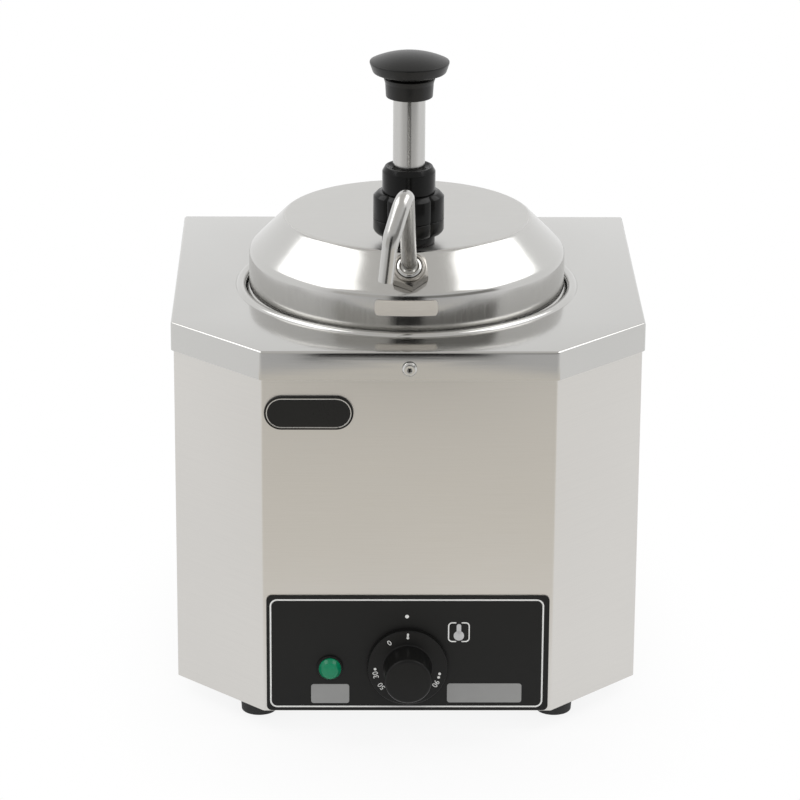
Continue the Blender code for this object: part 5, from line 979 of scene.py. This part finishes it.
class WARMER_OT_front(bpy.types.Operator):
    """Control panel with its print, the bare badge, and the pilot lamp"""
    bl_idname = "warmer.front"
    bl_label = "Front panel, badge and lamp"

    def execute(self, context):
        face = PANEL_LOW.y
        panel = block("printed_control_panel", PANEL_LOW, PANEL_HIGH, 3 * MM, 0.15 * MM)
        drill_at(panel, ("thermostat_shaft",), SHAFT_HOLE, face, sides=48)
        drill_at(panel, ("pilot_lamp_lens",), LAMP_HOLE, face, sides=48)
        fit(panel, "panel", "body", "control_panel")
        self.frame_line("panel_border_print", mm(-78.6, 77.4, 14.6, 81.4), face, 0.9 * MM, 4.2 * MM)
        ink_dot("panel_mark_dot_0", Vector((-0.5 * MM, face, 70.8 * MM)), 1.1 * MM)
        for name, edges in (("label_plate_left", mm(-55.1, -33.3, 17.2, 29)),
                            ("label_plate_right", mm(22.7, 65.3, 17.6, 29.4))):
            fit(plate(name, edges, face, 0.12 * MM, 0.05 * MM, 1.6 * MM), "label", "body")
        self.thermometer(face)
        self.badge()
        self.lamp()
        return {"FINISHED"}

    def frame_line(self, name, edges, face, width, corner, finish="print"):
        """Rounded frame of thin ink: an outer plate with a smaller one cut from it."""
        left, right, low, high = edges
        ring = plate(name, edges, face, INK, INK / 2, corner)
        hole = (left + width, right - width, low + width, high - width)
        cut_with(ring, plate(name + "_hole", hole, face, MM, MM, corner - width))
        return fit(ring, finish, "body")

    def thermometer(self, face):
        """Plain thermometer sign inside a broken frame."""
        ring = self.frame_line("thermometer_frame", mm(22.9, 35.3, 55.1, 67.3), face, 0.7 * MM, 2.4 * MM)
        cut_with(ring, plate("thermometer_gap", mm(27.6, 30.6, 50, 70), face, MM, MM))
        ink_dot("thermometer_bulb_0", Vector((29.1 * MM, face, 59 * MM)), 3 * MM, "label_light")
        fit(plate("thermometer_stem", mm(27.8, 30.4, 60, 66.2), face, INK, INK_SINK, 1.25 * MM),
            "label_light", "body")

    def badge(self):
        """Bare stadium badge with a silver inset line."""
        low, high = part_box("front_badge")
        inset, width, half = 1.1 * MM, 0.55 * MM, (high.z - low.z) / 2 - 0.01 * MM
        badge = block("bare_front_badge", low, high, half, 0.2 * MM, 20)
        fit(badge, "badge", "body", "front_badge")
        edges = (low.x + inset, high.x - inset, low.z + inset, high.z - inset)
        self.frame_line("badge_inset_line", edges, low.y, width, half - inset, "silver_line")

    def lamp(self):
        """Lamp body with its bezel, and the tapered green lens."""
        place = middle("pilot_lamp_lens")
        place.y = PANEL_LOW.y - 0.3 * MM
        outline = mm((4.8, -6.6), (4.8, 1.4, 0.2), (7.4, 1.4, 0.7), (7.4, 0), (5.8, 0), (5.8, -20, 0.5),
                     (0, -20), (0, -6.6))
        fit(turned("pilot_lamp_bezel", outline, place, 64, True, FRONT), "plastic", "body", "pilot_lamp_body")
        outline = mm((0, 6.3), (2.4, 6.1), (4.6, 5.3, 1.6), (6.4, 2.7, 0.9), (6.4, 1.7), (4.5, 1.7),
                     (4.5, -6.3), (0, -6.3))
        fit(turned("green_pilot_lens", outline, place, 64, axis=FRONT), "lens", "body", "pilot_lamp_lens")


class WARMER_OT_dial(bpy.types.Operator):
    """Thermostat dial: skirt with plain numbers and marks, and its grip"""
    bl_idname = "warmer.dial"
    bl_label = "Dial"

    def execute(self, context):
        centre = middle("thermostat_shaft")
        centre.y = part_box("dial_knob")[1].y
        skirt, grip, height, thick, ring = 22.8, 13.9, 23.8, 3.8, 18.6 * MM
        outline = mm((0, height), (grip - 0.5, height, 1.8), (grip, thick, 0.7), (skirt, thick, 0.8),
                     (skirt, 0, 0.2), (18.5, 0), (18.5, 2.2), (5.6, 2.2), (5.6, 0), (3.3, 0), (3.3, 15),
                     (0, 15))
        fit(turned("thermostat_dial", outline, centre, axis=FRONT), "plastic", "dial", "dial_knob")
        face = centre + FRONT * thick * MM

        def on_ring(degrees):
            """Place on the skirt's ring of marks, at an angle clockwise from the top."""
            angle = math.radians(degrees)
            return face + (RIGHT * math.sin(angle) + UP * math.cos(angle)) * ring
        for word, degrees in (("0", -34), ("30", -103), ("50", -127), ("90", 121)):
            spot = on_ring(degrees) + FRONT * INK_SINK
            number = printed("dial_number_" + word, word, 4.4 * MM, spot, math.radians(degrees))
            fit(number, "print", "dial", slot="black_plastic")
        edges = (centre.x - 0.55 * MM, centre.x + 0.55 * MM, centre.z + 19 * MM, centre.z + 21.4 * MM)
        fit(plate("dial_zero_bar", edges, face.y, INK, INK_SINK, 0.5 * MM),
            "print", "dial", slot="black_plastic")
        for i, degrees in enumerate((0, -155, -92, 145, 101, 108)):
            ink_dot(f"dial_mark_{i}", on_ring(degrees), 0.8 * MM, "print", "dial", "black_plastic", 20)
        return {"FINISHED"}


class WARMER_OT_screws_and_feet(bpy.types.Operator):
    """Cover screws, small screws, rubber feet and foot screws"""
    bl_idname = "warmer.screws_and_feet"
    bl_label = "Screws and feet"

    def execute(self, context):
        outline = mm((0, -1.6), (1.4, -1.6), (1.4, 2, 0.15), (3, 2, 0.8), (4.2, 0.9, 0.5), (4.2, 0), (2, 0),
                     (2, -7), (0, -7))
        for node, end, axis in (("cover_screw_front", 0, FRONT), ("cover_screw_rear", 1, -FRONT)):
            place = middle(node)
            place.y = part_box(node)[end].y
            fit(turned(node + "_button", outline, place - axis * 2 * MM, 48, axis=axis),
                "polished", "body", node)
        self.small_screws()
        self.feet()
        return {"FINISHED"}

    def small_screws(self):
        """Domed cross screws of the rear panel and the inlet, modelled once and copied."""
        names = ("rear_panel_screw_left", "rear_panel_screw_right", "inlet_screw_left", "inlet_screw_right")
        radius, head, shank, length = mm(2.8, 1.6, 1.5, 7)
        seats = [Vector((middle(name).x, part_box(name)[1].y - head, middle(name).z)) for name in names]
        first = cross_screw(names[0] + "_cross", seats[0], -FRONT, radius, head, shank, length)
        twins = [copied(first, name + "_cross", seat - seats[0]) for name, seat in zip(names[1:], seats[1:])]
        for name, screw in zip(names, [first] + twins):
            fit(screw, "plated", "body", name)

    def feet(self):
        """Rubber feet and the screws that hold them, modelled once and copied."""
        names = ("front_left", "front_right", "rear_left", "rear_right")
        spots = [Vector((*middle("foot_" + name).xy, 0.002 * MM)) for name in names]
        outline = mm((11, 11.7), (10.2, 0, 0.9), (4.8, 0, 0.4), (4.8, 6), (2.3, 6), (2.3, 11.7))
        first_foot = turned("rubber_foot_" + names[0], outline, spots[0], 64, True)
        low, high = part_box("foot_screw_" + names[0])
        radius, head, shank = mm(3.8, 2.4, 2)
        seat = Vector((*spots[0].xy, low.z + head))
        first_screw = cross_screw("foot_screw_" + names[0] + "_cross", seat, -UP, radius, head, shank,
                                  high.z - seat.z)
        for name, spot in zip(names, spots):
            foot, screw = first_foot, first_screw
            if name != names[0]:
                foot = copied(first_foot, "rubber_foot_" + name, spot - spots[0])
                screw = copied(first_screw, "foot_screw_" + name + "_cross", spot - spots[0])
            fit(foot, "rubber", "body", "foot_" + name)
            fit(screw, "plated", "body", "foot_screw_" + name)


class WARMER_OT_stage(bpy.types.Operator):
    """Pale floor, soft lamps, world and camera"""
    bl_idname = "warmer.stage"
    bl_label = "Stage"

    def execute(self, context):
        scene = context.scene
        deselected()
        bpy.ops.mesh.primitive_circle_add(vertices=96, radius=0.85, fill_type="NGON", location=(0, 0, 0))
        floor = named("studio_floor")
        floor.data.materials.append(self.floor_finish(scene.warmer_colours.floor))
        for name, side in (("lamp_left", -1), ("lamp_right", 1)):
            self.soft_lamp(name, (side * 1.0, 0.14, 1.42), (side * 0.30, -0.69, 0.41), length=1.4, width=0.8,
                           power=6.7)
        fill = self.soft_lamp("lamp_front_fill", (0, -2.3, 1.5), RIGHT, length=1.6, width=1.6, power=16)
        fill.visible_glossy = False
        self.card("black_card_front", (-0.094, -0.42), (0.088, -0.42), low=0.147, tone=0.012)
        self.card("grey_card_left", (-0.345, -0.27), (-0.07, -0.435), low=0.262, tone=0.6)
        self.card("grey_card_right", (0.055, -0.435), (0.38, -0.19), low=0.262, tone=0.28)
        self.world(scene)
        camera = bpy.data.cameras.new("photo_camera")
        camera.lens, camera.sensor_width = 176.02, 36
        view = bpy.data.objects.new("photo_camera", camera)
        scene.collection.objects.link(view)
        right = Vector((0.99990, -0.01275, 0.00584)).normalized()
        ahead = Vector((0.01397, 0.94195, -0.33547)).normalized()
        above = right.cross(ahead).normalized()
        turn = Matrix((right, above, -ahead)).transposed().to_4x4()
        view.matrix_world = Matrix.Translation((-0.03573, -2.16194, 0.93309)) @ turn
        scene.camera = view
        scene.view_settings.view_transform = "Standard"
        return {"FINISHED"}

    def soft_lamp(self, name, place, along, length, width, power):
        """Rectangular soft lamp that looks at the warmer, its long side along a direction."""
        bpy.ops.object.light_add(type="AREA", location=(0, 0, 0))
        lamp = named(name)
        lamp.data.shape = "RECTANGLE"
        lamp.data.size, lamp.data.size_y, lamp.data.energy = length, width, power
        target = Vector((0, 0.02, 0.25))
        back = (Vector(place) - target).normalized()
        across = (Vector(along) - back * back.dot(Vector(along))).normalized()
        turn = Matrix((across, back.cross(across), back)).transposed().to_4x4()
        lamp.matrix_world = Matrix.Translation(place) @ turn
        lamp.visible_camera = False
        return lamp

    def card(self, name, start, end, low, tone, high=0.445):
        """Upright studio card with soft edges that only shows in the metal's reflections."""
        deselected()
        bpy.ops.mesh.primitive_grid_add(x_subdivisions=1, y_subdivisions=1, size=1, location=(0, 0, 0))
        sheet = named(name)
        corner, width, rise = Vector((*start, low)), Vector(end) - Vector(start), high - low
        along, soft_edge = Vector((*width, 0)), 18 * MM
        for vert in sheet.data.vertices:
            vert.co = corner + along * (vert.co.x + 0.5) + UP * rise * (vert.co.y + 0.5)
        material = bpy.data.materials.new(name)
        tree = emptied(material)
        place, centre = added(tree, "TexCoord").outputs["Object"], corner + (along + UP * rise) / 2
        away = added(tree, "VectorMath", {0: place, 1: centre}, operation="SUBTRACT").outputs["Vector"]
        shares = []
        for way, half in ((along.normalized(), along.length / 2), (UP, rise / 2)):
            out = added(tree, "VectorMath", {0: away, 1: way}, operation="DOT_PRODUCT").outputs["Value"]
            shares.append(ranged(tree, reckoned(tree, "ABSOLUTE", out), half - soft_edge, half, 1, 0))
        glow = added(tree, "Emission", {"Color": (tone, tone * 0.985, tone * 0.95, 1)}).outputs["Emission"]
        clear = added(tree, "BsdfTransparent").outputs["BSDF"]
        both = mixed(tree, reckoned(tree, "MULTIPLY", *shares), clear, glow)
        added(tree, "OutputMaterial", {"Surface": both})
        sheet.data.materials.append(material)
        sheet.visible_camera = sheet.visible_diffuse = sheet.visible_shadow = False
        sheet.visible_transmission = sheet.visible_volume_scatter = False

    def floor_finish(self, colour):
        """Pale floor that shows the warmer's shadow and turns into the white background away from it."""
        material = bpy.data.materials.new("pale studio floor")
        tree = emptied(material)
        place, ray = added(tree, "TexCoord").outputs["Object"], added(tree, "LightPath").outputs
        wide = added(tree, "Mapping", {"Vector": place, "Scale": (1.8, 1, 1)}).outputs["Vector"]
        far = added(tree, "VectorMath", {0: wide}, operation="LENGTH").outputs["Value"]
        either = reckoned(tree, "MAXIMUM", ray["Is Camera Ray"], ray["Is Glossy Ray"])
        seen = reckoned(tree, "MULTIPLY", ranged(tree, far, 0.17, 0.36, 0.86, 1), either)
        depth = added(tree, "SeparateXYZ", {"Vector": place}).outputs["Y"]
        mirrored = reckoned(tree, "MULTIPLY", ranged(tree, depth, -0.15, -0.36), ray["Is Glossy Ray"])
        tint = tinted(tree, mirrored, WHITE, (0.84, 0.80, 0.725, 1))
        glow = added(tree, "Emission", {"Color": tint}).outputs["Emission"]
        plain = added(tree, "BsdfDiffuse", {"Color": (*colour, 1)}).outputs["BSDF"]
        added(tree, "OutputMaterial", {"Surface": mixed(tree, seen, plain, glow)})
        return material

    def world(self, scene):
        """Soft even light; the camera sees plain white, and metal a white room under a grey ceiling."""
        scene.world = bpy.data.worlds.new("studio")
        tree = emptied(scene.world)
        ray = added(tree, "LightPath").outputs
        lights = [added(tree, "Background", {"Color": tone, "Strength": strength}).outputs["Background"]
                  for tone, strength in ((WHITE, 0.65), (self.room_tone(tree), 1), (WHITE, 1))]
        mirrored = reckoned(tree, "MAXIMUM", ray["Is Glossy Ray"], ray["Is Transmission Ray"])
        unseen = mixed(tree, mirrored, *lights[:2])
        added(tree, "OutputWorld", {"Surface": mixed(tree, ray["Is Camera Ray"], unseen, lights[2])})

    def room_tone(self, tree):
        """White round the room, dimmer in front, blended to an overhead grey higher up."""
        place = added(tree, "TexCoord").outputs["Generated"]
        parts = added(tree, "SeparateXYZ", {"Vector": place}).outputs
        walls = ranged(tree, parts["Y"], -0.96, -0.2, 0.62, 1)
        return tinted(tree, ranged(tree, parts["Z"], 0.5, 0.8), walls, (0.70, 0.69, 0.67, 1))


STEPS = (WARMER_OT_finishes, WARMER_OT_cover, WARMER_OT_body, WARMER_OT_inlet, WARMER_OT_lid, WARMER_OT_pot,
         WARMER_OT_pump, WARMER_OT_pump_below, WARMER_OT_spout, WARMER_OT_front, WARMER_OT_dial,
         WARMER_OT_screws_and_feet, WARMER_OT_stage)


class WARMER_PT_sidebar(bpy.types.Panel):
    """Sidebar list of the warmer's pieces, sizes and colours"""
    bl_idname = "WARMER_PT_sidebar"
    bl_label = "Topping Warmer"
    bl_space_type = "VIEW_3D"
    bl_region_type = "UI"
    bl_category = "Topping Warmer"

    def draw(self, context):
        layout = self.layout
        for step in STEPS:
            layout.operator(step.bl_idname)
        for group, kind in SCENE_GROUPS.items():
            box = layout.box()
            box.label(text=kind.__doc__.rstrip("."))
            for name in kind.__annotations__:
                box.prop(getattr(context.scene, group), name)


CLASSES = (*SCENE_GROUPS.values(), *STEPS, WARMER_PT_sidebar)


def register():
    for kind in CLASSES:
        bpy.utils.register_class(kind)
    for name, group in SCENE_GROUPS.items():
        setattr(bpy.types.Scene, name, PointerProperty(type=group))


def unregister():
    for name in SCENE_GROUPS:
        delattr(bpy.types.Scene, name)
    for kind in reversed(CLASSES):
        bpy.utils.unregister_class(kind)


def main():
    """Build the dressed warmer step by step."""
    register()
    bpy.ops.warmer.finishes()
    bpy.ops.warmer.cover()
    bpy.ops.warmer.body()
    bpy.ops.warmer.inlet()
    bpy.ops.warmer.lid()
    bpy.ops.warmer.pot()
    bpy.ops.warmer.pump()
    bpy.ops.warmer.pump_below()
    bpy.ops.warmer.spout()
    bpy.ops.warmer.front()
    bpy.ops.warmer.dial()
    bpy.ops.warmer.screws_and_feet()
    bpy.ops.warmer.stage()


if __name__ == "__main__":
    main()
